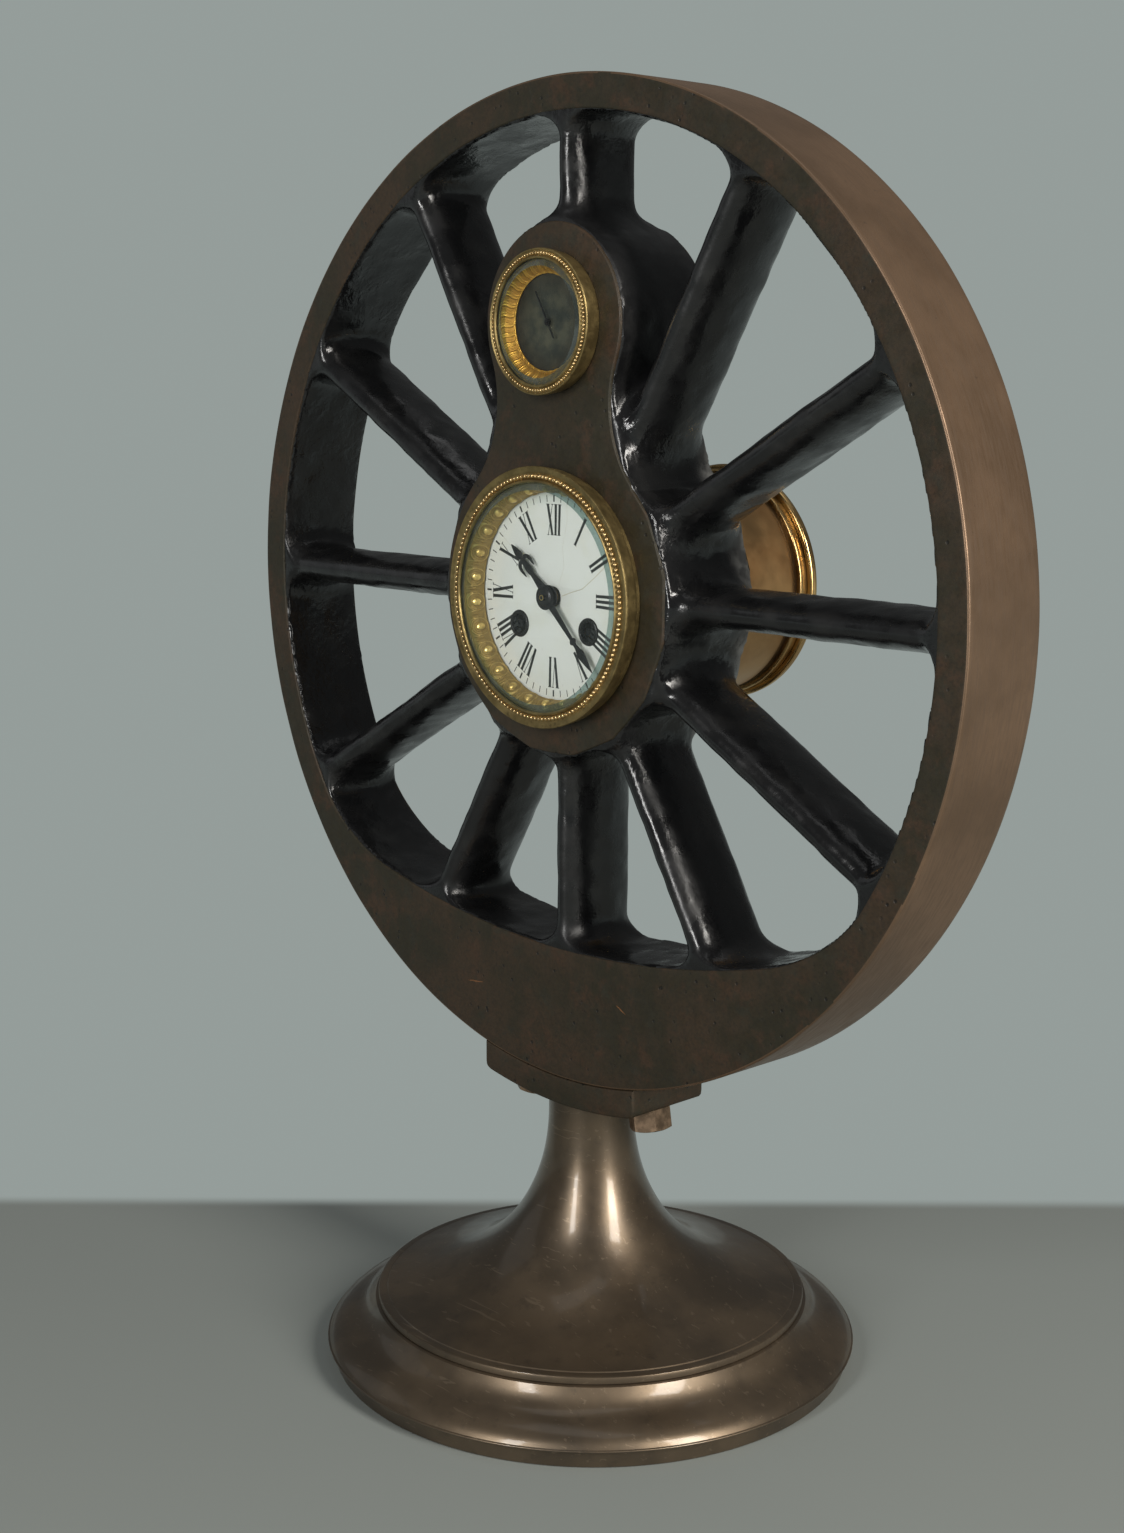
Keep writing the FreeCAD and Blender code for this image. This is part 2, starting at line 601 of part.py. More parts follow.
def barometer_case():
    """A spun cup in the boss, whose front flange carries the dial."""
    wall = 1.0
    return turned_y([(0, BARO_CASE_REAR), (BARO_CASE_RADIUS, BARO_CASE_REAR),
                     (BARO_CASE_RADIUS, -27.4), (21.5, -27.4), (21.5, -26.4),
                     (BARO_CASE_RADIUS - wall, -26.4), (BARO_CASE_RADIUS - wall, BARO_CASE_REAR - wall),
                     (0, BARO_CASE_REAR - wall)], 0, BOSS_HEIGHT)


def aneroid_capsule():
    """The corrugated vacuum capsule on its post."""
    profile = [(0, -17.0), (2.2, -17.0), (2.2, -15.2)]
    rings = 4
    width = 14.0 / rings
    for k in range(rings):
        inner = 2.2 + k * width
        profile += [((inner + width / 4, -15.8), (inner + width / 2, -15.2)),
                    ((inner + width * 3 / 4, -14.6), (inner + width, -15.2))]
    profile += [(16.2, -11.0), (2.2, -11.0), (2.2, BARO_CASE_REAR - 1.02), (0, BARO_CASE_REAR - 1.02)]
    return turned_y(profile, 0, BOSS_HEIGHT)


def barometer_works():
    """The aneroid capsule, and the bridge over it that carries the needle's arbor."""
    plate = ring_y(16.0, 0.65, -22.0, -20.6, 0, BOSS_HEIGHT)
    posts = [cylinder_y(1.2, -22.0, BARO_CASE_REAR - 1.02, x, BOSS_HEIGHT) for x in (-20.5, 20.5)]
    ears = [bar_y((side * 14.0, BOSS_HEIGHT), (side * 20.5, BOSS_HEIGHT), 4.0, -22.0, -20.6)
            for side in (-1, 1)]
    return Part.makeCompound([aneroid_capsule(), fuse([plate] + posts + ears)])


def barometer_dial():
    return ring_y(24.2, 0.9, BARO_DIAL_FRONT, -27.42, 0, BOSS_HEIGHT)


def barometer_hand():
    """The slim needle and its arbor, which a bush behind the dial carries."""
    angle = BARO_HAND_ANGLE
    tip = polar(14.8, angle)
    tail = polar(-7.6, angle)
    needle = bar_y((tail[0], BOSS_HEIGHT + tail[1]), (tip[0], BOSS_HEIGHT + tip[1]), 0.55, -29.0, -28.7)
    collar = cylinder_y(1.5, -29.2, -28.5, 0, BOSS_HEIGHT)
    arbor = cylinder_y(0.6, -29.6, -18.5, 0, BOSS_HEIGHT)
    return fuse([needle, collar, arbor])


def barometer_bezel():
    """The fixed ring over the barometer's glass, pressed on the boss."""
    return turned_y([(24.7, -HUB_HALF_DEPTH - 0.02), (BARO_BEZEL_REAR_RADIUS, -HUB_HALF_DEPTH - 0.02),
                     (BARO_BEZEL_RADIUS, -33.4), ((30.1, -34.9), (29.2, -35.4)),
                     ((28.5, BARO_BEZEL_FRONT), (27.9, -35.3)),
                     (BARO_GLASS_RADIUS + 0.2, -34.9), (BARO_GLASS_RADIUS + 0.2, -32.6),
                     (26.6, -32.6), (26.6, -28.6), (24.7, -28.6)], 0, BOSS_HEIGHT)


def barometer_glass():
    return turned_y([(0, -35.0), (24.2, -35.0), (BARO_GLASS_RADIUS, -33.8), (BARO_GLASS_RADIUS, -32.62),
                     (0, -32.62)], 0, BOSS_HEIGHT)


def barometer_sight_ring():
    return turned_y([(26.0, -32.58), (BARO_SIGHT_RADIUS, -28.6), (BARO_SIGHT_RADIUS, -28.05),
                     (21.4, -28.05), (26.5, -31.4), (26.5, -32.58)], 0, BOSS_HEIGHT)


# ================================================================ drum and rear door

def drum_case():
    return ring_y(DRUM_RADIUS, DRUM_RADIUS - DRUM_WALL, -HUB_HALF_DEPTH + 0.02, DRUM_REAR - 0.02)


def drum_rear_ring():
    """The moulded ring at the drum's end, with an inner flange for the strap screws."""
    flange_front = REAR_RING_REAR - 1.6
    ring = turned_y([(DRUM_RADIUS + 0.02, REAR_RING_FRONT), (REAR_RING_RADIUS - 0.8, REAR_RING_FRONT),
                     ((REAR_RING_RADIUS, REAR_RING_FRONT + 0.8), (REAR_RING_RADIUS - 0.6, 79.2)),
                     (REAR_RING_RADIUS - 0.6, REAR_RING_REAR), (42.0, REAR_RING_REAR),
                     (42.0, flange_front), (DRUM_RADIUS - DRUM_WALL - 0.1, flange_front),
                     (DRUM_RADIUS - DRUM_WALL - 0.1, DRUM_REAR), (DRUM_RADIUS + 0.02, DRUM_REAR)])
    for side in (-1, 1):
        ring = ring.cut(cylinder_y(SCREW_RADIUS + 0.1, flange_front - 1, REAR_RING_REAR + 1, side * SCREW_X))
    pieces = [ring]
    for low, high in ((-7.0, -3.2), (3.2, 7.0)):
        pieces.append(hinge_knuckle(DOOR_HINGE_X, DOOR_HINGE_Y, HINGE_RADIUS - 0.2, low, high))
        z0 = WHEEL_CENTRE_Z + low
        pieces.append(box(DOOR_HINGE_X, -50.6, 80.9, REAR_RING_REAR, z0, z0 + high - low))
    return drilled(fuse(pieces), DOOR_HINGE_X, DOOR_HINGE_Y)


def rear_door():
    """The hinged back cover: a moulded ring with a shallow dished plate."""
    ring = turned_y([(0, 85.6), (46.0, 85.6), (47.5, DOOR_FRONT), (DOOR_RADIUS - 1.0, DOOR_FRONT),
                     ((DOOR_RADIUS, 84.0), (DOOR_RADIUS - 0.5, 85.2)),
                     ((DOOR_RADIUS - 0.6, 86.9), (DOOR_RADIUS - 2.4, DOOR_REAR)), (50.0, DOOR_REAR),
                     (48.0, 86.8), (0, 86.8)])
    knuckle = hinge_knuckle(DOOR_HINGE_X, DOOR_HINGE_Y, HINGE_RADIUS - 0.2, -3.0, 3.0)
    tab = box(DOOR_HINGE_X, -52.0, DOOR_FRONT + 0.1, 84.2, WHEEL_CENTRE_Z - 3.0, WHEEL_CENTRE_Z + 3.0)
    return drilled(fuse([ring, knuckle, tab]), DOOR_HINGE_X, DOOR_HINGE_Y)


def hinge_pins():
    """The pins of the bezel's and the rear door's hinges."""
    return Part.makeCompound([
        hinge_knuckle(BEZEL_HINGE_X, BEZEL_HINGE_Y, HINGE_PIN_RADIUS, -9.0, 9.0),
        hinge_knuckle(DOOR_HINGE_X, DOOR_HINGE_Y, HINGE_PIN_RADIUS, -7.5, 7.5)])


def movement_straps():
    """Two brass straps from the seat ring to the rear ring that clamp the hub between them."""
    flange_front = REAR_RING_REAR - 1.6
    half = STRAP_WIDTH / 2
    straps = []
    for side in (-1, 1):
        inner = side * (STRAP_X - STRAP_THICKNESS)
        outer = side * STRAP_X
        x0, x1 = min(inner, outer), max(inner, outer)
        strap = box(x0, x1, -19.9, flange_front - 0.05, WHEEL_CENTRE_Z - half, WHEEL_CENTRE_Z + half)
        y1 = flange_front - 0.05
        foot = box(side * SCREW_X - 2.4, side * SCREW_X + 2.4, y1 - 2.4, y1,
                   WHEEL_CENTRE_Z - half, WHEEL_CENTRE_Z + half)
        strap = fuse([strap, foot])
        straps.append(strap.cut(cylinder_y(SCREW_RADIUS + 0.02, y1 - 4, y1 + 1, side * SCREW_X)))
    return Part.makeCompound(straps)


def strap_screws():
    screws = []
    for side in (-1, 1):
        x = side * SCREW_X
        head = cylinder_y(2.4, REAR_RING_REAR, REAR_RING_REAR + 1.6, x)
        head = head.cut(box(x - 3, x + 3, REAR_RING_REAR + 1.0, REAR_RING_REAR + 2.0,
                            WHEEL_CENTRE_Z - 0.35, WHEEL_CENTRE_Z + 0.35))
        screws.append(head.fuse(cylinder_y(SCREW_RADIUS, REAR_RING_REAR - 4.0, REAR_RING_REAR, x)))
    return Part.makeCompound(screws)


# ================================================================ gearing

def pitch_radius(teeth, module):
    return teeth * module / 2


def mesh_distance(teeth_a, teeth_b, module):
    return (teeth_a + teeth_b) * module / 2


def beside(centre, distance, degrees):
    """The point at a distance and direction from another."""
    step = polar(distance, degrees)
    return (centre[0] + step[0], centre[1] + step[1])


def mesh_phase(centre_a, teeth_a, phase_a, centre_b, teeth_b):
    """The turn, in radians, that sets a gap of gear b against a tooth of gear a."""
    line = math.atan2(centre_b[1] - centre_a[1], centre_b[0] - centre_a[0])
    return line + math.pi - math.pi / teeth_b - (phase_a - line) * teeth_a / teeth_b


def gear(centre, teeth, module, phase, y0, y1, bore=0.0, pinion=False):
    """A spur gear with straight-sided teeth. Pinion leaves are thinner and shorter."""
    pitch = pitch_radius(teeth, module)
    step = 2 * math.pi / teeth
    if pinion:
        levels = ((-1.25, 0.17), (0.0, 0.17), (0.55, 0.07))
    else:
        levels = ((-1.15, 0.24), (0.0, 0.20), (0.85, 0.06))
    points = []
    for k in range(teeth):
        middle = phase + k * step
        for sign in (-1, 1):
            order = levels if sign < 0 else tuple(reversed(levels))
            for height, half in order:
                radius = pitch + height * module
                angle = middle + sign * half * step
                points.append((radius * math.cos(angle), radius * math.sin(angle)))
    wheel = plate_y(points, y0, y1, *centre)
    if bore:
        wheel = wheel.cut(cylinder_y(bore, y0 - 1, y1 + 1, *centre))
    return wheel


def crossed(wheel, centre, radius, y0, y1):
    """Lighten a wheel with five round windows."""
    for k in range(5):
        hole = beside(centre, radius * 0.58, 72 * k + 18)
        wheel = wheel.cut(cylinder_y(radius * 0.22, y0 - 1, y1 + 1, *hole))
    return wheel


def arbor(centre, steps):
    """A turned arbor from (y, radius) steps: each radius holds until the next y."""
    pieces = []
    for (y0, radius), (y1, _) in zip(steps, steps[1:]):
        pieces.append(cylinder_y(radius, y0, y1, *centre))
    return fuse(pieces)


def train_arbor(centre, leaves=None, front=None, rear=None):
    """An arbor between the plates with its two pivots, and a pinion cut on it if given."""
    y0 = FRONT_PLATE[0] if front is None else front
    y1 = BACK_PLATE[1] if rear is None else rear
    shoulder = 0.2
    body = arbor(centre, [(y0, PIVOT_RADIUS), (FRONT_PLATE[1] + shoulder, ARBOR_RADIUS),
                          (BACK_PLATE[0] - shoulder, PIVOT_RADIUS), (y1, 0)])
    return body if leaves is None else body.fuse(leaves).removeSplitter()


# Places of the arbors, as (x, z) from the wheel's centre, worked out from the meshing distances.
CENTRE = (0.0, 0.0)
GOING_BARREL = (WINDING_X, WINDING_Z)
STRIKE_BARREL = (-WINDING_X, WINDING_Z)


def two_circle_point(a, radius_a, b, radius_b):
    """The point at given distances from a and b that lies on the left of the way from a to b."""
    gap = math.dist(a, b)
    along = (radius_a ** 2 - radius_b ** 2 + gap ** 2) / (2 * gap)
    across = math.sqrt(radius_a ** 2 - along ** 2)
    ux, uz = (b[0] - a[0]) / gap, (b[1] - a[1]) / gap
    return (a[0] + along * ux - across * uz, a[1] + along * uz + across * ux)


SECOND = two_circle_point(CENTRE, mesh_distance(SECOND_TEETH, SECOND_PINION, SECOND_MODULE),
                          GOING_BARREL, mesh_distance(BARREL_TEETH, BARREL_PINION, BARREL_MODULE))
THIRD = beside(CENTRE, mesh_distance(CENTRE_TEETH, THIRD_PINION, CENTRE_MODULE), 88)
FOURTH = beside(THIRD, mesh_distance(THIRD_TEETH, FOURTH_PINION, THIRD_MODULE), 53)
ESCAPE = beside(FOURTH, mesh_distance(FOURTH_TEETH, ESCAPE_PINION, FOURTH_MODULE), 162)
PALLET = beside(ESCAPE, PALLET_DISTANCE, 180)
BALANCE = beside(PALLET, LEVER_LENGTH + 1.6, 188)
STRIKE_SECOND = beside(STRIKE_BARREL, mesh_distance(BARREL_TEETH, BARREL_PINION, BARREL_MODULE), 83)
PIN_WHEEL = beside(STRIKE_SECOND, mesh_distance(SECOND_TEETH, SECOND_PINION, SECOND_MODULE), 63)
LOCKING = beside(PIN_WHEEL, mesh_distance(PIN_WHEEL_TEETH, LOCKING_PINION, PIN_WHEEL_MODULE), 166)
FLY = beside(LOCKING, mesh_distance(LOCKING_TEETH, FLY_PINION, LOCKING_MODULE), 207)
MINUTE_ARBOR = beside(CENTRE, mesh_distance(CANNON_TEETH, MINUTE_WHEEL_TEETH, CANNON_MODULE), 270)


def driven(centre_a, teeth_a, centre_b, teeth_b, module, y0, y1, bore=0.0):
    """The pinion at b that meshes with a wheel at a cut with its first tooth along +X."""
    phase = mesh_phase(centre_a, teeth_a, 0.0, centre_b, teeth_b)
    return gear(centre_b, teeth_b, module, phase, y0, y1, bore, pinion=True)


def wheel(centre, teeth, module, y0, y1, bore):
    disc = gear(centre, teeth, module, 0.0, y0, y1, bore)
    return crossed(disc, centre, pitch_radius(teeth, module) - module, y0, y1)


# ================================================================ movement frame

def pivot_holes():
    """Every arbor's place and radius where it passes the front and the back plate."""
    both = [SECOND, THIRD, FOURTH, ESCAPE, STRIKE_SECOND, PIN_WHEEL, LOCKING, FLY]
    holes = [(place, PIVOT_RADIUS, PIVOT_RADIUS) for place in both]
    holes.append((CENTRE, CENTRE_ARBOR_RADIUS, CENTRE_ARBOR_RADIUS))
    holes.append((GOING_BARREL, 2.2, 1.6))
    holes.append((STRIKE_BARREL, 2.2, 1.6))
    holes.append((HAMMER_CENTRE, ARBOR_RADIUS, ARBOR_RADIUS))
    return holes


def pillar_bolts(disc, span):
    for place in PILLARS:
        disc = disc.cut(cylinder_y(1.2, span[0] - 1, span[1] + 1, *place))
    return disc


def front_plate():
    plate = cylinder_y(PLATE_RADIUS, *FRONT_PLATE)
    for place, front, _ in pivot_holes():
        plate = plate.cut(cylinder_y(front + PIVOT_PLAY, FRONT_PLATE[0] - 1, FRONT_PLATE[1] + 1, *place))
    studs = [cylinder_y(0.7, -21.6, FRONT_PLATE[0], *MINUTE_ARBOR)]
    for centre, side in ((GOING_BARREL, 1), (STRIKE_BARREL, -1)):
        studs.append(cylinder_y(0.85, -20.4, FRONT_PLATE[0], *click_pivot(centre, side)))
    return fuse([pillar_bolts(plate, FRONT_PLATE)] + studs)


def back_plate():
    plate = cylinder_y(PLATE_RADIUS, *BACK_PLATE)
    for place, _, rear in pivot_holes():
        plate = plate.cut(cylinder_y(rear + PIVOT_PLAY, BACK_PLATE[0] - 1, BACK_PLATE[1] + 1, *place))
    for place in (PALLET, BALANCE):
        plate = plate.cut(cylinder_y(0.3 + PIVOT_PLAY, BACK_PLATE[0] - 1, BACK_PLATE[1] + 1, *place))
    return pillar_bolts(plate, BACK_PLATE)


def plate_pillars():
    """Four turned pillars between the plates, each with a nut at both ends."""
    pieces = []
    nut_height = 1.4
    for place in PILLARS:
        pieces.append(arbor(place, [(FRONT_PLATE[0] - nut_height, 1.15), (FRONT_PLATE[1], PILLAR_RADIUS),
                                    (BACK_PLATE[0], 1.15), (BACK_PLATE[1] + nut_height, 0)]))
        for y in (FRONT_PLATE[0] - nut_height, BACK_PLATE[1]):
            pieces.append(ring_y(2.6, 1.17, y, y + nut_height, *place))
    return Part.makeCompound(pieces)


# ================================================================ barrels and winding

def barrel(centre):
    """Barrel drum with its toothed floor, its cap, and the coiled mainspring inside it."""
    y0, y1 = BARREL_TEETH_Y
    wall = 1.0
    hole = 2.2 + RUNNING_PLAY
    drum = ring_y(BARREL_RADIUS, BARREL_RADIUS - wall, BARREL_FRONT, y0 + 0.2, *centre)
    floor = gear(centre, BARREL_TEETH, BARREL_MODULE, 0.0, y0, y1, hole)
    cap = ring_y(BARREL_RADIUS - wall - 0.02, hole, BARREL_FRONT, BARREL_FRONT + 1.2, *centre)
    spring = ring_y(BARREL_RADIUS - wall - 0.3, 9.0, BARREL_FRONT + 1.6, y0 - 0.4, *centre)
    return Part.makeCompound([fuse([drum, floor]), cap, spring])


def winding_arbor(centre):
    """Barrel arbor with its square for the key, its core, and the ratchet on the front plate."""
    square_tip = DIAL_FRONT + 0.3
    half = 1.55
    square = box(centre[0] - half, centre[0] + half, square_tip, -19.2,
                 WHEEL_CENTRE_Z + centre[1] - half, WHEEL_CENTRE_Z + centre[1] + half)
    shaft = arbor(centre, [(-19.2, 2.2), (BARREL_FRONT + 1.6, 4.2), (BARREL_TEETH_Y[0] - 0.4, 2.2),
                           (BARREL_TEETH_Y[1] + 1.0, 1.6), (BACK_PLATE[1], 0)])
    points = []
    teeth = 18
    for k in range(teeth):
        points += [polar(5.4, k * 20.0), polar(4.4, k * 20.0 + 2.0)]
    ratchet = plate_y(points, -18.8, -17.5, *centre)
    ratchet = ratchet.cut(cylinder_y(2.22, -20, -17, *centre))
    return Part.makeCompound([shaft.fuse(square).removeSplitter(), ratchet])


def click_pivot(centre, side):
    return beside(centre, 9.6, 90 - side * 30)


def winding_click(centre, side):
    """A click on its screw, standing just off the ratchet's tips."""
    pivot = click_pivot(centre, side)
    nose = beside(centre, 6.1, 90 - side * 2)
    collar = ring_y(1.9, 0.9, -20.0, -17.6, *pivot)
    arm = bar_y(pivot, nose, 1.1, -18.8, -17.6)
    return collar.fuse(arm).cut(cylinder_y(0.9, -21, -17, *pivot)).removeSplitter()


# ================================================================ going train

def second_wheel():
    pinion = driven(GOING_BARREL, BARREL_TEETH, SECOND, BARREL_PINION, BARREL_MODULE, -0.2, 4.2)
    disc = wheel(SECOND, SECOND_TEETH, SECOND_MODULE, 4.6, 5.8, ARBOR_RADIUS + 0.01)
    return Part.makeCompound([train_arbor(SECOND, pinion), disc])


def centre_wheel():
    """The centre arbor, whose long front end carries the cannon pinion and the hands' pin."""
    pinion = driven(SECOND, SECOND_TEETH, CENTRE, SECOND_PINION, SECOND_MODULE, 3.8, 6.6)
    shaft = cylinder_y(CENTRE_ARBOR_RADIUS, -32.0, BACK_PLATE[1])
    shaft = shaft.fuse(pinion).removeSplitter()
    shaft = shaft.cut(Part.makeCone(0.46, 0.33, 6.4, V(-3.2, -31.45, WHEEL_CENTRE_Z), V(1, 0, 0)))
    disc = wheel(CENTRE, CENTRE_TEETH, CENTRE_MODULE, 8.4, 9.4, CENTRE_ARBOR_RADIUS + 0.01)
    return Part.makeCompound([shaft, disc])


def third_wheel():
    pinion = driven(CENTRE, CENTRE_TEETH, THIRD, THIRD_PINION, CENTRE_MODULE, 7.6, 10.2)
    disc = wheel(THIRD, THIRD_TEETH, THIRD_MODULE, -4.0, -3.0, ARBOR_RADIUS + 0.01)
    return Part.makeCompound([train_arbor(THIRD, pinion), disc])


def fourth_wheel():
    pinion = driven(THIRD, THIRD_TEETH, FOURTH, FOURTH_PINION, THIRD_MODULE, -5.0, -2.0)
    disc = wheel(FOURTH, FOURTH_TEETH, FOURTH_MODULE, 0.0, 0.8, ARBOR_RADIUS + 0.01)
    return Part.makeCompound([train_arbor(FOURTH, pinion), disc])


def escape_wheel():
    """Escape pinion and arbor, with the fifteen-tooth wheel behind the back plate."""
    pinion = driven(FOURTH, FOURTH_TEETH, ESCAPE, ESCAPE_PINION, FOURTH_MODULE, -0.8, 1.6)
    shaft = train_arbor(ESCAPE, None, None, 16.6)
    shaft = shaft.cut(cylinder_y(ARBOR_RADIUS, -0.8, 1.6, *ESCAPE)).fuse(pinion).removeSplitter()
    points = []
    for k in range(ESCAPE_TEETH):
        start = k * FULL_TURN / ESCAPE_TEETH
        points += [polar(ESCAPE_RADIUS, start), polar(ESCAPE_RADIUS - 0.1, start + 2.5),
                   polar(ESCAPE_RADIUS - 1.2, start + 7.0), polar(ESCAPE_RADIUS - 1.2, start + 21.0)]
    disc = plate_y(points, 14.2, 14.8, *ESCAPE)
    return Part.makeCompound([shaft, disc.cut(cylinder_y(PIVOT_RADIUS + 0.01, 14, 15, *ESCAPE))])


def pallet_lever():
    """Anchor with two pallets, and the lever that reaches to the balance's roller."""
    toward = math.degrees(math.atan2(BALANCE[1] - PALLET[1], BALANCE[0] - PALLET[0]))
    lever = bar_y(PALLET, beside(PALLET, LEVER_LENGTH - 1.2, toward), 0.9, 15.3, 15.9)
    arms = []
    for side in (-1, 1):
        tip = beside(PALLET, 3.6, side * 66)
        arms.append(bar_y(PALLET, tip, 0.8, 14.2, 14.8))
    staff = cylinder_y(0.6, 13.0, 16.4, *PALLET)
    pivots = cylinder_y(0.3, BACK_PLATE[1] - 1.0, 17.2, *PALLET)
    return fuse([lever, staff, pivots] + arms)


def balance_wheel():
    """Balance rim, arm, staff and roller, with the hairspring's coils above the arm."""
    rim = ring_y(BALANCE_RADIUS, BALANCE_RADIUS - 1.0, 18.5, 19.7, *BALANCE)
    arm = bar_y(beside(BALANCE, 6.4, 40), beside(BALANCE, -6.4, 40), 1.2, 18.7, 19.4)
    staff = cylinder_y(0.6, 13.2, 23.4, *BALANCE)
    pivots = cylinder_y(0.3, BACK_PLATE[1] - 1.0, 24.0, *BALANCE)
    roller = cylinder_y(1.5, 16.3, 16.9, *BALANCE)
    solid = fuse([rim, arm, staff, pivots, roller])
    coils = [ring_y(1.5 + 0.7 * k, 1.3 + 0.7 * k, 20.6, 21.2, *BALANCE) for k in range(4)]
    return Part.makeCompound([solid] + coils)


def balance_cock():
    """The balance's cock on its post, and the small bridge over escape wheel and lever."""
    foot = (-2.5, 36.0)
    post = cylinder_y(2.0, BACK_PLATE[1], 24.2, *foot)
    arm = bar_y(foot, BALANCE, 4.0, 22.9, 24.2)
    arm = arm.cut(cylinder_y(0.3 + PIVOT_PLAY, 22, 25, *BALANCE)).cut(cylinder_y(0.7, 22, 23.6, *BALANCE))
    side_foot = beside(ESCAPE, 7.6, 0)
    bridge = bar_y(side_foot, PALLET, 2.6, 16.7, 17.5)
    bridge = bridge.cut(cylinder_y(0.3 + PIVOT_PLAY, 16, 18, *PALLET))
    bridge = bridge.fuse(cylinder_y(1.6, BACK_PLATE[1], 17.5, *side_foot)).removeSplitter()
    return Part.makeCompound([post.fuse(arm).removeSplitter(), bridge])


# ================================================================ motion work

def cannon_pinion():
    """The cannon pinion turns on the centre arbor and carries the minute hand."""
    leaves = gear(CENTRE, CANNON_TEETH, CANNON_MODULE, 0.0, -19.2, -17.2, pinion=True)
    tube = arbor(CENTRE, [(-29.8, CANNON_RADIUS - 0.42), (-29.05, CANNON_RADIUS), (-17.2, 0)])
    hole = cylinder_y(CENTRE_ARBOR_RADIUS + PIVOT_PLAY, -31, -17)
    return fuse([tube, leaves]).cut(hole)


def minute_wheel():
    """Minute wheel and its pinion, turning on a stud in the front plate."""
    phase = mesh_phase(CENTRE, CANNON_TEETH, 0.0, MINUTE_ARBOR, MINUTE_WHEEL_TEETH)
    disc = gear(MINUTE_ARBOR, MINUTE_WHEEL_TEETH, CANNON_MODULE, phase, -18.8, -17.8, 0.7 + RUNNING_PLAY)
    pinion = gear(MINUTE_ARBOR, MINUTE_PINION, HOUR_MODULE, 0.0, -21.4, -18.8, 0.7 + RUNNING_PLAY, True)
    return disc.fuse(pinion).removeSplitter()


def hour_wheel():
    """Hour wheel with the pipe that carries the hour hand."""
    phase = mesh_phase(MINUTE_ARBOR, MINUTE_PINION, 0.0, CENTRE, HOUR_WHEEL_TEETH)
    disc = gear(CENTRE, HOUR_WHEEL_TEETH, HOUR_MODULE, phase, -20.9, -19.9)
    pipe = arbor(CENTRE, [(-28.0, 2.73), (-27.15, HOUR_PIPE_RADIUS), (-19.9, 0)])
    return fuse([disc, pipe]).cut(cylinder_y(CANNON_RADIUS + PIVOT_PLAY, -30, -19))


# ================================================================ strike train and bell

def count_wheel():
    """The notched wheel that counts out the strokes: one notch after each hour's number."""
    disc = ring_y(COUNT_WHEEL_RADIUS, PIVOT_RADIUS + 0.01, 14.0, 15.2, *STRIKE_SECOND)
    strokes = 0
    total = 90
    for hour in range(1, 13):
        strokes += hour + 1
        notch = beside(STRIKE_SECOND, COUNT_WHEEL_RADIUS, strokes * FULL_TURN / total)
        disc = disc.cut(cylinder_y(0.7, 13, 16, *notch))
    return disc


def strike_second_wheel():
    """The strike's second wheel, whose long arbor also carries the count wheel at the back."""
    pinion = driven(STRIKE_BARREL, BARREL_TEETH, STRIKE_SECOND, BARREL_PINION, BARREL_MODULE, -0.2, 4.2)
    disc = wheel(STRIKE_SECOND, SECOND_TEETH, SECOND_MODULE, 4.6, 5.8, ARBOR_RADIUS + 0.01)
    shaft = train_arbor(STRIKE_SECOND, pinion, None, 15.6)
    return Part.makeCompound([shaft, disc, count_wheel()])


def pin_wheel():
    """The wheel whose pins lift the hammer."""
    pinion = driven(STRIKE_SECOND, SECOND_TEETH, PIN_WHEEL, SECOND_PINION, SECOND_MODULE, 3.8, 6.6)
    disc = wheel(PIN_WHEEL, PIN_WHEEL_TEETH, PIN_WHEEL_MODULE, -8.0, -6.8, ARBOR_RADIUS + 0.01)
    pins = [cylinder_y(0.45, -6.8, -5.2, *beside(PIN_WHEEL, LIFTING_PIN_CIRCLE, 36 * k))
            for k in range(LIFTING_PINS)]
    return Part.makeCompound([train_arbor(PIN_WHEEL, pinion), fuse([disc] + pins)])


def locking_wheel():
    pinion = driven(PIN_WHEEL, PIN_WHEEL_TEETH, LOCKING, LOCKING_PINION, PIN_WHEEL_MODULE, -9.0, -5.8)
    disc = wheel(LOCKING, LOCKING_TEETH, LOCKING_MODULE, -2.0, -1.2, ARBOR_RADIUS + 0.01)
    return Part.makeCompound([train_arbor(LOCKING, pinion), disc])


def strike_fly():
    """The air brake of the strike train: two thin vanes on the last arbor."""
    pinion = driven(LOCKING, LOCKING_TEETH, FLY, FLY_PINION, LOCKING_MODULE, -2.8, -0.4)
    shaft = train_arbor(FLY).cut(cylinder_y(ARBOR_RADIUS, -2.8, -0.4, *FLY))
    vane = box(FLY[0] - 4.2, FLY[0] + 4.2, -13.5, -4.5,
               WHEEL_CENTRE_Z + FLY[1] - 0.15, WHEEL_CENTRE_Z + FLY[1] + 0.15)
    return shaft.fuse(pinion).fuse(vane).removeSplitter()


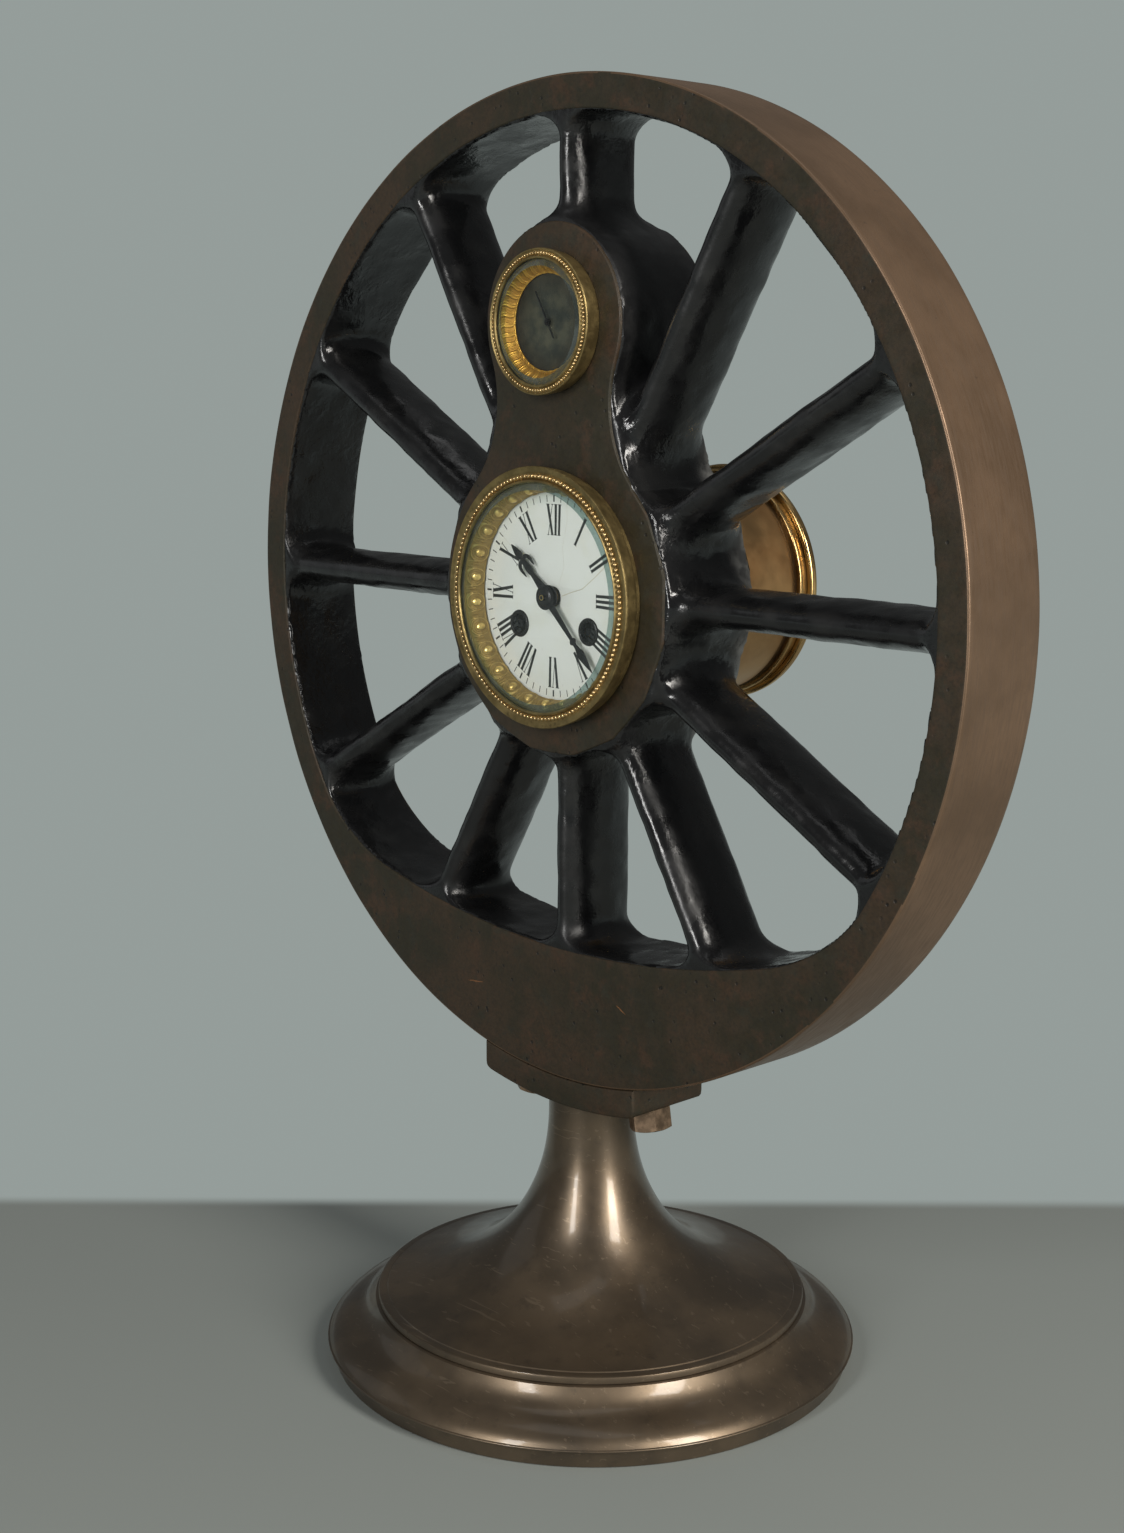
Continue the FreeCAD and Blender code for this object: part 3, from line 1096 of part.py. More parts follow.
def hammer():
    """Hammer arbor with its lifting tail, and the long arm and head beside the bell."""
    shaft = cylinder_y(ARBOR_RADIUS, FRONT_PLATE[0], BELL_MOUTH + 3.0, *HAMMER_CENTRE)
    reach = math.dist(HAMMER_CENTRE, PIN_WHEEL) - LIFTING_PIN_CIRCLE - 0.45 - 0.5
    toward = math.degrees(math.atan2(PIN_WHEEL[1] - HAMMER_CENTRE[1], PIN_WHEEL[0] - HAMMER_CENTRE[0]))
    tail = bar_y(HAMMER_CENTRE, beside(HAMMER_CENTRE, reach - 0.6, toward), 1.2, -6.6, -5.4)
    collet = cylinder_y(1.6, BELL_MOUTH, BELL_MOUTH + 3.0, *HAMMER_CENTRE)
    arm = bar_y(HAMMER_CENTRE, HAMMER_HEAD, 1.4, BELL_MOUTH + 0.4, BELL_MOUTH + 1.8)
    head = cylinder_y(HAMMER_HEAD_RADIUS, BELL_MOUTH - 2.0, BELL_MOUTH + 4.0, *HAMMER_HEAD)
    return fuse([shaft, tail, collet, arm, head])


def bell():
    """A spun bell with its mouth towards the movement."""
    top = BELL_TOP
    wall = 1.6
    profile = [(BELL_RADIUS, BELL_MOUTH), ((BELL_RADIUS * 0.86, top - 5.5), (12.0, top)), (2.1, top),
               (2.1, top - wall), (12.0, top - wall),
               ((BELL_RADIUS * 0.86 - wall, top - 6.3), (BELL_RADIUS - wall, BELL_MOUTH))]
    return turned_y(profile)


def bell_stand():
    """The bracket from the back plate to the bell's middle, with the bell's nut."""
    post = cylinder_y(2.4, BACK_PLATE[1], 34.0, *BELL_POST)
    arm = bar_y(BELL_POST, CENTRE, 4.4, 31.0, 34.0)
    seat = cylinder_y(3.4, 34.0, BELL_TOP - 1.6)
    spigot = cylinder_y(2.0, 34.0, BELL_TOP + 3.6)
    nut = ring_y(4.4, 2.02, BELL_TOP, BELL_TOP + 2.6)
    return Part.makeCompound([fuse([post, arm, seat, spigot]), nut])


# ================================================================ export

NODES = {
    "pedestal_foot": pedestal_foot,
    "pedestal_column": pedestal_column,
    "column_stud": column_stud,
    "saddle": saddle,
    "saddle_bolts": saddle_bolts,
    "wheel_rim": wheel_rim,
    "wheel_counterweight": wheel_counterweight,
    "wheel_hub": wheel_hub,
    "wheel_spokes": wheel_spokes,
    "dial_seat_ring": dial_seat_ring,
    "bezel_ring": bezel_ring,
    "bezel_glass": bezel_glass,
    "bezel_sight_ring": bezel_sight_ring,
    "dial_enamel": dial_enamel,
    "dial_plate": dial_plate,
    "winding_collets": winding_collets,
    "hour_hand": hour_hand,
    "minute_hand": minute_hand,
    "hand_collet": hand_collet,
    "hand_pin": hand_pin,
    "barometer_case": barometer_case,
    "barometer_works": barometer_works,
    "barometer_dial": barometer_dial,
    "barometer_hand": barometer_hand,
    "barometer_bezel": barometer_bezel,
    "barometer_glass": barometer_glass,
    "barometer_sight_ring": barometer_sight_ring,
    "drum_case": drum_case,
    "drum_rear_ring": drum_rear_ring,
    "rear_door": rear_door,
    "hinge_pins": hinge_pins,
    "movement_straps": movement_straps,
    "strap_screws": strap_screws,
    "front_plate": front_plate,
    "back_plate": back_plate,
    "plate_pillars": plate_pillars,
    "going_barrel": lambda: barrel(GOING_BARREL),
    "strike_barrel": lambda: barrel(STRIKE_BARREL),
    "going_winding_arbor": lambda: winding_arbor(GOING_BARREL),
    "strike_winding_arbor": lambda: winding_arbor(STRIKE_BARREL),
    "going_click": lambda: winding_click(GOING_BARREL, 1),
    "strike_click": lambda: winding_click(STRIKE_BARREL, -1),
    "second_wheel": second_wheel,
    "centre_wheel": centre_wheel,
    "third_wheel": third_wheel,
    "fourth_wheel": fourth_wheel,
    "escape_wheel": escape_wheel,
    "pallet_lever": pallet_lever,
    "balance_wheel": balance_wheel,
    "balance_cock": balance_cock,
    "cannon_pinion": cannon_pinion,
    "minute_wheel": minute_wheel,
    "hour_wheel": hour_wheel,
    "strike_second_wheel": strike_second_wheel,
    "pin_wheel": pin_wheel,
    "locking_wheel": locking_wheel,
    "strike_fly": strike_fly,
    "hammer": hammer,
    "bell": bell,
    "bell_stand": bell_stand,
}


def main():
    os.makedirs("parts", exist_ok=True)
    for name, build in NODES.items():
        shape = build()
        shape.exportStep(f"parts/{name}.step")
        solids = len(shape.Solids)
        print(f"{name}: {solids} solid(s), {shape.Volume / 1000:.2f} cm3, valid {shape.isValid()}")


main()
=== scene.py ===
"""Looks of the locomotive wheel mantel clock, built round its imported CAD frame.

Lengths in this script are millimetres; add_mesh() turns them into metres. +Z is up and the dial
faces -Y. Points given as (x, z) are counted from the wheel's centre.
"""
import json
import math

import bmesh
import bpy
import numpy as np
import openvdb
from mathutils import Matrix, Vector


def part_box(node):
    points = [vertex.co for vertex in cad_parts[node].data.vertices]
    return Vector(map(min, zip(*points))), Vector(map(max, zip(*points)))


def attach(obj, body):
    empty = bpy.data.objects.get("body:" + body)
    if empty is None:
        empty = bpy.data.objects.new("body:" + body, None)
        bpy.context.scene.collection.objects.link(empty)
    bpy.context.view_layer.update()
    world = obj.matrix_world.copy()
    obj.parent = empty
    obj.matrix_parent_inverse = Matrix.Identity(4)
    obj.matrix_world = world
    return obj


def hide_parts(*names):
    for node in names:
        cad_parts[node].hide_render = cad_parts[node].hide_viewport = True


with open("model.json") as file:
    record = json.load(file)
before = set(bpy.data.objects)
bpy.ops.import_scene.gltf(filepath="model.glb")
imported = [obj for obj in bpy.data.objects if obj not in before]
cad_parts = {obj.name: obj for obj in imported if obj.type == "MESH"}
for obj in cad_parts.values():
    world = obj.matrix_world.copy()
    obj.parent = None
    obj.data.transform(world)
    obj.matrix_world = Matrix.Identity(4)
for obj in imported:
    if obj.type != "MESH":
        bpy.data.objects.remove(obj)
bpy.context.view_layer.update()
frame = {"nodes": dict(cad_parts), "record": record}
NODES = frame["nodes"]
MM = 0.001
FRAME_BODY = "clock_frame"


# ================================================================ sizes, some read from the frame, the rest given

def box_mm(node):
    """Lowest and highest corner of a CAD node, in millimetres."""
    low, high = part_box(node)
    return np.array(low) / MM, np.array(high) / MM


RIM_LOW, RIM_HIGH = box_mm("wheel_rim")
WHEEL_Z = (RIM_LOW[2] + RIM_HIGH[2]) / 2
WHEEL_R = (RIM_HIGH[0] - RIM_LOW[0]) / 2
RIM_FACE = RIM_HIGH[1]
HUB_LOW, HUB_HIGH = box_mm("wheel_hub")
HUB_FACE = HUB_HIGH[1]
HUB_R = (HUB_HIGH[0] - HUB_LOW[0]) / 2
BARO_LOW, BARO_HIGH = box_mm("barometer_dial")
BOSS_Z = (BARO_LOW[2] + BARO_HIGH[2]) / 2 - WHEEL_Z
BOSS_R = HUB_HIGH[2] - WHEEL_Z - BOSS_Z
SADDLE_HALF = box_mm("saddle")[1][0]

RIM_INNER_R = 203.3
WAIST_HALF = 35.5
CRESCENT_R = 470.0
CRESCENT_TOP = -158.0
CRESCENT_FILLET = 15.0
ARC_Z = CRESCENT_TOP + CRESCENT_R
SPOKES = 12
SPOKE_HALF_WIDTH = 8.5
SPOKE_HALF_DEPTH = 20.5
HUB_BORE_R = 50.1
BARO_BORE_R = 24.6
SADDLE_R = WHEEL_R + 12.6
BOLT_OFFSET = 37.0
BOLT_HALF_FLATS = 8.5
BOLT_HEAD = 10.0
BOLT_SEAT_R = 7.3
FLARE_LOW, FLARE_TOP = 31.0, 118.0
FLARE_PRODUCT, FLARE_FLOOR, FLARE_INSET = 2046.0, 10.0, 2.9
SWELL, SWELL_FROM = 0.0025, 80.0
NECK_R = 19.65
NECK_TOP = 122.9
WINDING_X, WINDING_Z = 22.0, -13.5


# ================================================================ mesh helpers

def add_mesh(name, vertices, faces, material, body=FRAME_BODY, stands_for=(), slot=None,
             sharp=40.0, faces_material=None):
    """A piece from vertices in millimetres that rides on a CAD body."""
    mesh = bpy.data.meshes.new(name)
    mesh.from_pydata((np.asarray(vertices, float) * MM).tolist(), [], np.asarray(faces).tolist()
                     if isinstance(faces, np.ndarray) else faces)
    return add_object(name, mesh, material, body, stands_for, slot, sharp, faces_material)


def add_object(name, mesh, material, body=FRAME_BODY, stands_for=(), slot=None, sharp=40.0,
               faces_material=None):
    work = bmesh.new()
    work.from_mesh(mesh)
    bmesh.ops.remove_doubles(work, verts=work.verts, dist=2e-6)
    bmesh.ops.recalc_face_normals(work, faces=work.faces)
    work.to_mesh(mesh)
    work.free()
    for item in material if isinstance(material, (list, tuple)) else [material]:
        mesh.materials.append(item)
    if faces_material is not None:
        mesh.polygons.foreach_set("material_index", faces_material(mesh))
    mesh.polygons.foreach_set("use_smooth", [True] * len(mesh.polygons))
    mesh.set_sharp_from_angle(angle=math.radians(sharp))
    obj = bpy.data.objects.new(name, mesh)
    bpy.context.scene.collection.objects.link(obj)
    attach(obj, body)
    if stands_for:
        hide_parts(*stands_for)
    return obj


def about_wheel(radius, depth, angle, centre_z=0.0):
    """Vertices from radius, depth and angle about the wheel's axis, or one above it."""
    places = [radius * np.cos(angle), depth, WHEEL_Z + centre_z + radius * np.sin(angle)]
    return np.stack(places, -1).reshape(-1, 3)


def face_centres(mesh):
    centre = np.empty(len(mesh.polygons) * 3)
    mesh.polygons.foreach_get("center", centre)
    return centre.reshape(-1, 3)


def grid_faces(rows, columns, wrap_rows=False, wrap_columns=True):
    """Quads of a grid of rows by columns of vertices."""
    r = np.arange(rows if wrap_rows else rows - 1)
    c = np.arange(columns if wrap_columns else columns - 1)
    a, b = np.meshgrid(r, c, indexing="ij")
    a2, b2 = (a + 1) % rows, (b + 1) % columns
    quads = np.stack([a * columns + b, a2 * columns + b, a2 * columns + b2, a * columns + b2], -1)
    return quads.reshape(-1, 4)


def rounded(profile, radius, steps=4):
    """An open profile with each inner corner turned into an arc."""
    points = [np.array(p, float) for p in profile]
    out = [points[0]]
    for before, corner, after in zip(points, points[1:], points[2:]):
        u, v = before - corner, after - corner
        lu, lv = np.linalg.norm(u), np.linalg.norm(v)
        u, v = u / lu, v / lv
        half = math.acos(max(-1.0, min(1.0, float(u @ v)))) / 2
        if half > math.radians(86):
            out.append(corner)
            continue
        reach = min(radius / math.tan(half), 0.45 * lu, 0.45 * lv)
        start, end = corner + u * reach, corner + v * reach
        for k in range(steps + 1):
            t = k / steps
            out.append((1 - t) ** 2 * start + 2 * t * (1 - t) * corner + t ** 2 * end)
    out.append(points[-1])
    return out


def turned(profile, axis="y", centre=(0.0, 0.0), segments=192, closed=False):
    """Vertices and quads of a profile of (radius, height) turned about Y or Z."""
    profile = np.array(profile, float)
    angle = np.linspace(0, 2 * math.pi, segments, endpoint=False)
    r, h = profile[:, 0][:, None], profile[:, 1][:, None]
    across, along = r * np.cos(angle), r * np.sin(angle)
    height = h * np.ones_like(angle)
    if axis == "y":
        vertices = np.stack([centre[0] + across, height, WHEEL_Z + centre[1] + along], -1)
    else:
        vertices = np.stack([across, along, height], -1)
    return vertices.reshape(-1, 3), grid_faces(len(profile), segments, wrap_rows=closed)


def lathe(name, profile, material, axis="y", centre=(0.0, 0.0), segments=192, **more):
    """A piece turned from a closed profile."""
    vertices, faces = turned(profile, axis, centre, segments, closed=True)
    return add_mesh(name, vertices, faces, material, **more)


def plate(name, loops, y0, y1, bevel, material, steps=2, place=None, **more):
    """A flat piece between y0 and y1 from closed loops of (x, z) points, with rounded edges."""
    curve = bpy.data.curves.new(name, "CURVE")
    curve.dimensions = "2D"
    curve.fill_mode = "BOTH"
    curve.extrude = ((y1 - y0) / 2 - bevel) * MM
    curve.bevel_depth = bevel * MM
    curve.bevel_resolution = steps
    curve.offset = -bevel * MM
    for loop in loops:
        spline = curve.splines.new("POLY")
        spline.points.add(len(loop) - 1)
        for point, (x, z) in zip(spline.points, loop):
            point.co = (x * MM, z * MM, 0, 1)
        spline.use_cyclic_u = True
    holder = bpy.data.objects.new(name + "_outline", curve)
    bpy.context.scene.collection.objects.link(holder)
    bpy.context.view_layer.update()
    shape = bpy.data.meshes.new_from_object(holder.evaluated_get(bpy.context.evaluated_depsgraph_get()))
    bpy.data.objects.remove(holder)
    upright = Matrix(((1, 0, 0, 0), (0, 0, -1, (y0 + y1) / 2 * MM), (0, 1, 0, WHEEL_Z * MM), (0, 0, 0, 1)))
    shape.transform(upright if place is None else place @ upright)
    shape.name = name
    shape.materials.clear()
    return add_object(name, shape, material, **more)


def arc(centre, radius, start, end, count):
    """Points on an arc between two angles in degrees, counted from +X towards +Z."""
    angle = np.radians(np.linspace(start, end, count))
    return [(centre[0] + radius * math.cos(a), centre[1] + radius * math.sin(a)) for a in angle]


def circle(radius, centre=(0.0, 0.0), count=96):
    return arc(centre, radius, 0, 360 * (1 - 1 / count), count)


def turn_about_wheel(degrees):
    """Clockwise turn about the wheel's centre, as seen from the front."""
    move = Matrix.Translation((0, 0, WHEEL_Z * MM))
    return move @ Matrix.Rotation(math.radians(degrees), 4, "Y") @ move.inverted()


def hash_noise(index, seed):
    """A repeatable value from 0 to 1 for each whole-number lattice point."""
    n = index[..., 0] * 374761393 + index[..., 1] * 668265263 + index[..., 2] * 2147483647 + seed * 1274126177
    n = (n ^ (n >> 13)) * 1103515245
    n = n ^ (n >> 16)
    return (n & 0xFFFFFF) / float(0xFFFFFF)


def lumps(points, size, seed=1):
    """Smooth repeatable noise from -1 to 1 whose lumps are about size across."""
    scaled = np.asarray(points, float) / size
    base = np.floor(scaled).astype(np.int64)
    part = scaled - base
    part = part * part * (3 - 2 * part)
    total = np.zeros(len(scaled))
    for corner in range(8):
        offset = np.array([corner & 1, corner >> 1 & 1, corner >> 2 & 1])
        weight = np.prod(np.where(offset, part, 1 - part), axis=1)
        total += weight * hash_noise(base + offset, seed)
    return total * 2 - 1


# ================================================================ materials

class Finish:
    """A Principled material and short ways to add nodes to it. Sizes are in millimetres."""

    def __init__(self, name, colour, roughness, metallic=0.0, **values):
        self.material = bpy.data.materials.new(name)
        self.material.use_nodes = True
        self.tree = self.material.node_tree
        self.shader = self.tree.nodes["Principled BSDF"]
        self.set("Base Color", (*colour, 1.0))
        self.set("Roughness", roughness)
        self.set("Metallic", metallic)
        for socket, value in values.items():
            self.set(socket.replace("_", " "), value)
        self.where = self.tree.nodes.new("ShaderNodeTexCoord").outputs["Object"]
        self.bumped = None

    def set(self, socket, value):
        self.shader.inputs[socket].default_value = value

    def feed(self, socket, value):
        """Link a socket to another one, or set its own value."""
        if isinstance(value, bpy.types.NodeSocket):
            self.tree.links.new(value, socket)
        else:
            socket.default_value = value

    def node(self, kind, **inputs):
        node = self.tree.nodes.new(kind)
        for key, value in inputs.items():
            self.feed(node.inputs[key.replace("_", " ")], value)
        return node

    def noise(self, size, detail=3.0, roughness=0.55, stretch=None, distortion=0.0):
        """Noise from 0 to 1 whose features are about size across, stretched along an axis if asked."""
        where = self.where
        if stretch:
            where = self.node("ShaderNodeMapping", Vector=where, Scale=stretch).outputs[0]
        made = self.node("ShaderNodeTexNoise", Vector=where, Scale=1 / (size * MM), Detail=detail,
                         Roughness=roughness, Distortion=distortion)
        return made.outputs[0]

    def cells(self, size):
        return self.node("ShaderNodeTexVoronoi", Vector=self.where, Scale=1 / (size * MM)).outputs["Distance"]

    def ramp(self, value, low, high, start=0.0, end=1.0):
        """Map value from low..high to start..end, clamped and smooth."""
        made = self.tree.nodes.new("ShaderNodeMapRange")
        made.interpolation_type = "SMOOTHSTEP"
        self.tree.links.new(value, made.inputs["Value"])
        for key, number in (("From Min", low), ("From Max", high), ("To Min", start), ("To Max", end)):
            made.inputs[key].default_value = number
        return made.outputs["Result"]

    def math(self, operation, a, b):
        made = self.tree.nodes.new("ShaderNodeMath")
        made.operation = operation
        self.feed(made.inputs[0], a)
        self.feed(made.inputs[1], b)
        return made.outputs[0]

    def vector(self, operation, a, b=None):
        """A vector sum; LENGTH and DOT_PRODUCT give a number."""
        made = self.tree.nodes.new("ShaderNodeVectorMath")
        made.operation = operation
        self.feed(made.inputs[0], a)
        if b is not None:
            made.inputs[1].default_value = b
        return made.outputs["Value" if operation in ("LENGTH", "DOT_PRODUCT") else "Vector"]

    def along(self, axis):
        return self.node("ShaderNodeSeparateXYZ", Vector=self.where).outputs[axis]

    def attribute(self, name):
        made = self.tree.nodes.new("ShaderNodeAttribute")
        made.attribute_name = name
        return made.outputs["Fac"]

    def radius(self, centre_z=0.0, axis="y"):
        """Distance in millimetres from the wheel's axis, or from the stand's."""
        middle = (0, 0, (WHEEL_Z + centre_z) * MM) if axis == "y" else (0, 0, 0)
        flat = (1, 0, 1) if axis == "y" else (1, 1, 0)
        shifted = self.vector("SUBTRACT", self.where, middle)
        return self.vector("LENGTH", self.vector("MULTIPLY", shifted, tuple(x / MM for x in flat)))

    def mix(self, factor, a, b):
        made = self.tree.nodes.new("ShaderNodeMix")
        made.data_type = "RGBA"
        for place, value in ((0, factor), (6, a), (7, b)):
            self.feed(made.inputs[place], (*value, 1.0) if isinstance(value, tuple) else value)
        return made.outputs[2]

    def mix_shaders(self, factor, a, b):
        made = self.node("ShaderNodeMixShader", Fac=factor)
        self.feed(made.inputs[1], a)
        self.feed(made.inputs[2], b)
        return made.outputs[0]

    def surface(self, shader):
        self.feed(self.tree.nodes["Material Output"].inputs["Surface"], shader)

    def colour(self, socket):
        self.feed(self.shader.inputs["Base Color"], socket)

    def roughness(self, socket):
        self.feed(self.shader.inputs["Roughness"], socket)

    def bump(self, height, depth, strength):
        """Add a bump of about depth millimetres on top of those already there."""
        node = self.node("ShaderNodeBump", Height=height, Strength=strength, Distance=depth * MM)
        if self.bumped:
            self.feed(node.inputs["Normal"], self.bumped)
        self.bumped = node.outputs["Normal"]
        self.feed(self.shader.inputs["Normal"], self.bumped)


def brown_patina():
    """Olive-brown bronzed iron with reddish mottling, dark pits and faint rubbing."""
    f = Finish("wheel_iron_patina", (0.04, 0.032, 0.02), 0.50, 0.25, Specular_IOR_Level=0.42)
    broad = f.ramp(f.noise(42, 5, 0.62), 0.38, 0.62)
    colour = f.mix(broad, (0.031, 0.026, 0.014), (0.053, 0.034, 0.019))
    rust = f.ramp(f.noise(15, 7, 0.68), 0.50, 0.68, 0.0, 0.75)
    colour = f.mix(rust, colour, (0.070, 0.037, 0.020))
    olive = f.ramp(f.noise(11, 7, 0.7), 0.52, 0.68, 0.0, 0.7)
    colour = f.mix(olive, colour, (0.034, 0.033, 0.022))
    grain = f.ramp(f.noise(1.6, 5, 0.75), 0.40, 0.70, 0.0, 0.55)
    colour = f.mix(grain, colour, (0.018, 0.015, 0.011))
    chosen = f.ramp(f.noise(14, 2), 0.50, 0.60)
    pit = f.math("MULTIPLY", f.ramp(f.cells(4.6), 0.10, 0.22, 1.0, 0.0), chosen)
    colour = f.mix(f.math("MULTIPLY", pit, 0.85), colour, (0.008, 0.007, 0.006))
    f.colour(colour)
    f.roughness(f.ramp(f.noise(7, 5, 0.6), 0.3, 0.7, 0.40, 0.62))
    f.bump(f.noise(1.3, 4, 0.65), 0.14, 0.40)
    f.bump(f.math("MULTIPLY", pit, -1.0), 0.35, 0.7)
    f.bump(f.noise(16, 3), 0.5, 0.20)
    return f.material


def tread_patina():
    """The tread's satin, lightly turned brown with streaks along the way it was machined."""
    f = Finish("wheel_tread_patina", (0.16, 0.10, 0.06), 0.40, 0.62)
    streak = f.noise(7, 5, 0.65, stretch=(0.6, 6.0, 0.6))
    broad = f.ramp(f.noise(45, 4, 0.6), 0.35, 0.68)
    colour = f.mix(broad, (0.142, 0.090, 0.054), (0.200, 0.127, 0.078))
    colour = f.mix(f.ramp(streak, 0.42, 0.66, 0.0, 0.55), colour, (0.115, 0.078, 0.052))
    colour = f.mix(f.ramp(f.noise(3.2, 6, 0.7), 0.62, 0.75, 0.0, 0.6), colour, (0.06, 0.045, 0.034))
    f.colour(colour)
    f.roughness(f.ramp(streak, 0.3, 0.7, 0.34, 0.50))
    f.bump(streak, 0.12, 0.35)
    f.bump(f.noise(0.9, 3), 0.05, 0.3)
    return f.material


def black_paint():
    """Thick gloss black paint: orange peel, coarser at the roots, and a light grey band towards the hub's
    rear edge that is partly rub wear and partly a painted highlight on that rounded edge.
    """
    f = Finish("black_paint_gloss", (0.006, 0.006, 0.007), 0.22, 0.0, Specular_IOR_Level=0.55)
    r = f.radius()
    near_hub = f.ramp(r, HUB_R + 8, HUB_R + 34, 1.0, 0.0)
    near_rim = f.ramp(r, RIM_INNER_R - 26, RIM_INNER_R - 4, 0.0, 1.0)
    root = f.math("MAXIMUM", near_hub, near_rim)
    dust = f.ramp(f.noise(22, 5, 0.6), 0.50, 0.70, 0.0, 0.7)
    colour = f.mix(dust, (0.0075, 0.0075, 0.008), (0.018, 0.0175, 0.017))
    depth = f.along("Y")
    # Painted highlight with wear: towards their rear edge the hub's sides turn light grey in noisy patches,
    # part rub wear and part the light on the rounded edge put in as colour.
    rub_wear_and_sheen = f.math("MULTIPLY", f.ramp(depth, 0.012, 0.024), f.ramp(r, HUB_R + 1, HUB_R + 12, 1.0, 0.0))
    rub_wear_and_sheen = f.math("MULTIPLY", rub_wear_and_sheen, f.ramp(f.noise(13, 5, 0.65), 0.38, 0.60, 0.25, 1.0))
    f.colour(f.mix(rub_wear_and_sheen, colour, (0.150, 0.148, 0.140)))
    dull = f.ramp(f.noise(16, 5, 0.6), 0.34, 0.66, 0.15, 0.40)
    dull = f.math("ADD", dull, f.math("MULTIPLY", rub_wear_and_sheen, 0.35))
    dull = f.math("ADD", dull, f.ramp(f.radius(BOSS_Z), BOSS_R - 4, BOSS_R + 16, 0.16, 0.0))
    f.roughness(f.math("SUBTRACT", dull, f.math("MULTIPLY", root, 0.05)))
    f.bump(f.noise(1.7, 3, 0.6), 0.16, 0.45)
    f.bump(f.noise(6, 3), 0.5, 0.40)
    patchy = f.math("MULTIPLY", root, f.ramp(f.noise(26, 3), 0.42, 0.62, 0.25, 1.0))
    f.bump(f.math("MULTIPLY", patchy, f.noise(2.9, 3, 0.55, distortion=0.4)), 0.85, 0.62)
    return f.material


def pedestal_bronze():
    """Smooth dark brown bronze, worn brighter in places, with soft blotches."""
    f = Finish("pedestal_bronze_polished", (0.12, 0.092, 0.062), 0.30, 0.78, Coat_Weight=0.35,
               Coat_Roughness=0.10)
    broad = f.ramp(f.noise(46, 4, 0.55), 0.34, 0.66)
    colour = f.mix(broad, (0.088, 0.068, 0.048), (0.146, 0.108, 0.071))
    colour = f.mix(f.ramp(f.noise(9, 6, 0.7), 0.54, 0.74, 0.0, 0.5), colour, (0.068, 0.055, 0.042))
    scratched = f.ramp(f.noise(14, 2, 0.5, stretch=(0.5, 7.0, 9.0), distortion=0.8), 0.66, 0.69, 0.0, 0.35)
    f.colour(f.mix(scratched, colour, (0.26, 0.20, 0.14)))
    height = f.along("Z")
    satin = f.ramp(height, 0.030, 0.085, 0.38, 0.31)
    f.roughness(f.math("ADD", satin, f.ramp(f.noise(16, 5, 0.6), 0.3, 0.7, -0.03, 0.05)))
    f.bump(f.noise(1.4, 4, 0.6), 0.05, 0.25)
    f.bump(f.noise(24, 2), 0.3, 0.08)
    return f.material


def aged_brass():
    """The bezels' dull golden brass, browner where grime stays."""
    f = Finish("aged_brass_bezel", (0.28, 0.18, 0.075), 0.36, 0.88)
    worn = f.ramp(f.noise(8, 6, 0.65), 0.38, 0.66)
    colour = f.mix(worn, (0.205, 0.150, 0.062), (0.33, 0.245, 0.102))
    colour = f.mix(f.ramp(f.noise(2.2, 4), 0.58, 0.72, 0.0, 0.6), colour, (0.10, 0.07, 0.033))
    f.colour(colour)
    f.roughness(f.ramp(f.noise(5, 5), 0.3, 0.7, 0.34, 0.50))
    f.bump(f.noise(0.7, 4), 0.05, 0.3)
    return f.material


def gilt(name, bright, worn, hollow, roughness, metallic):
    """Gilding over bole, dull and brown in the hollows of the relief: grime there, and painted shade on the
    relief's low points.
    """
    f = Finish(name, bright, roughness, metallic)
    low = f.ramp(f.attribute("hollow"), 0.10, 0.75)
    colour = f.mix(f.ramp(f.noise(6, 5, 0.6), 0.38, 0.66), bright, worn)
    # Painted shade with grime: the relief's low points are mixed towards the dark brown hollow colour.
    colour = f.mix(f.math("MULTIPLY", low, 0.9), colour, hollow)
    f.colour(colour)
    f.roughness(f.ramp(low, 0.0, 1.0, roughness, roughness + 0.2))
    f.bump(f.noise(0.8, 4), 0.08, 0.45)
    return f.material


def spun_brass(name, bright, dark, roughness=0.33, lines=0.25, shade_and_dirt_from=None):
    """Turned sheet brass with fine circular lines, brown patches, scars, and, if asked, darkening past a
    depth: painted shade in the corner by the rear ring, with some grime there too.
    """
    f = Finish(name, bright, roughness, 1.0)
    patch = f.ramp(f.noise(30, 4, 0.55), 0.40, 0.68)
    colour = f.mix(patch, bright, dark)
    colour = f.mix(f.ramp(f.noise(3.0, 5, 0.7), 0.66, 0.74, 0.0, 0.5), colour, tuple(0.4 * c for c in dark))
    if shade_and_dirt_from:
        # Painted shade: from this depth back the brass turns near black-brown, standing in for the shadow in
        # the corner by the rear ring, with some grime there too.
        depth = f.along("Y")
        shade_and_dirt = f.ramp(depth, shade_and_dirt_from * MM, (shade_and_dirt_from + 3.5) * MM, 0.0, 0.9)
        colour = f.mix(shade_and_dirt, colour, (0.030, 0.018, 0.010))
    f.colour(colour)
    f.roughness(f.ramp(f.noise(20, 4), 0.3, 0.7, roughness - 0.05, roughness + 0.07))
    f.bump(f.noise(1.2, 3, stretch=(0.15, 1.6, 0.15)), 0.02, lines)
    scar = f.ramp(f.noise(9, 2, 0.5, stretch=(1.0, 5.0, 1.0), distortion=1.5), 0.72, 0.74)
    f.bump(f.math("MULTIPLY", scar, -1.0), 0.05, 0.4)
    return f.material


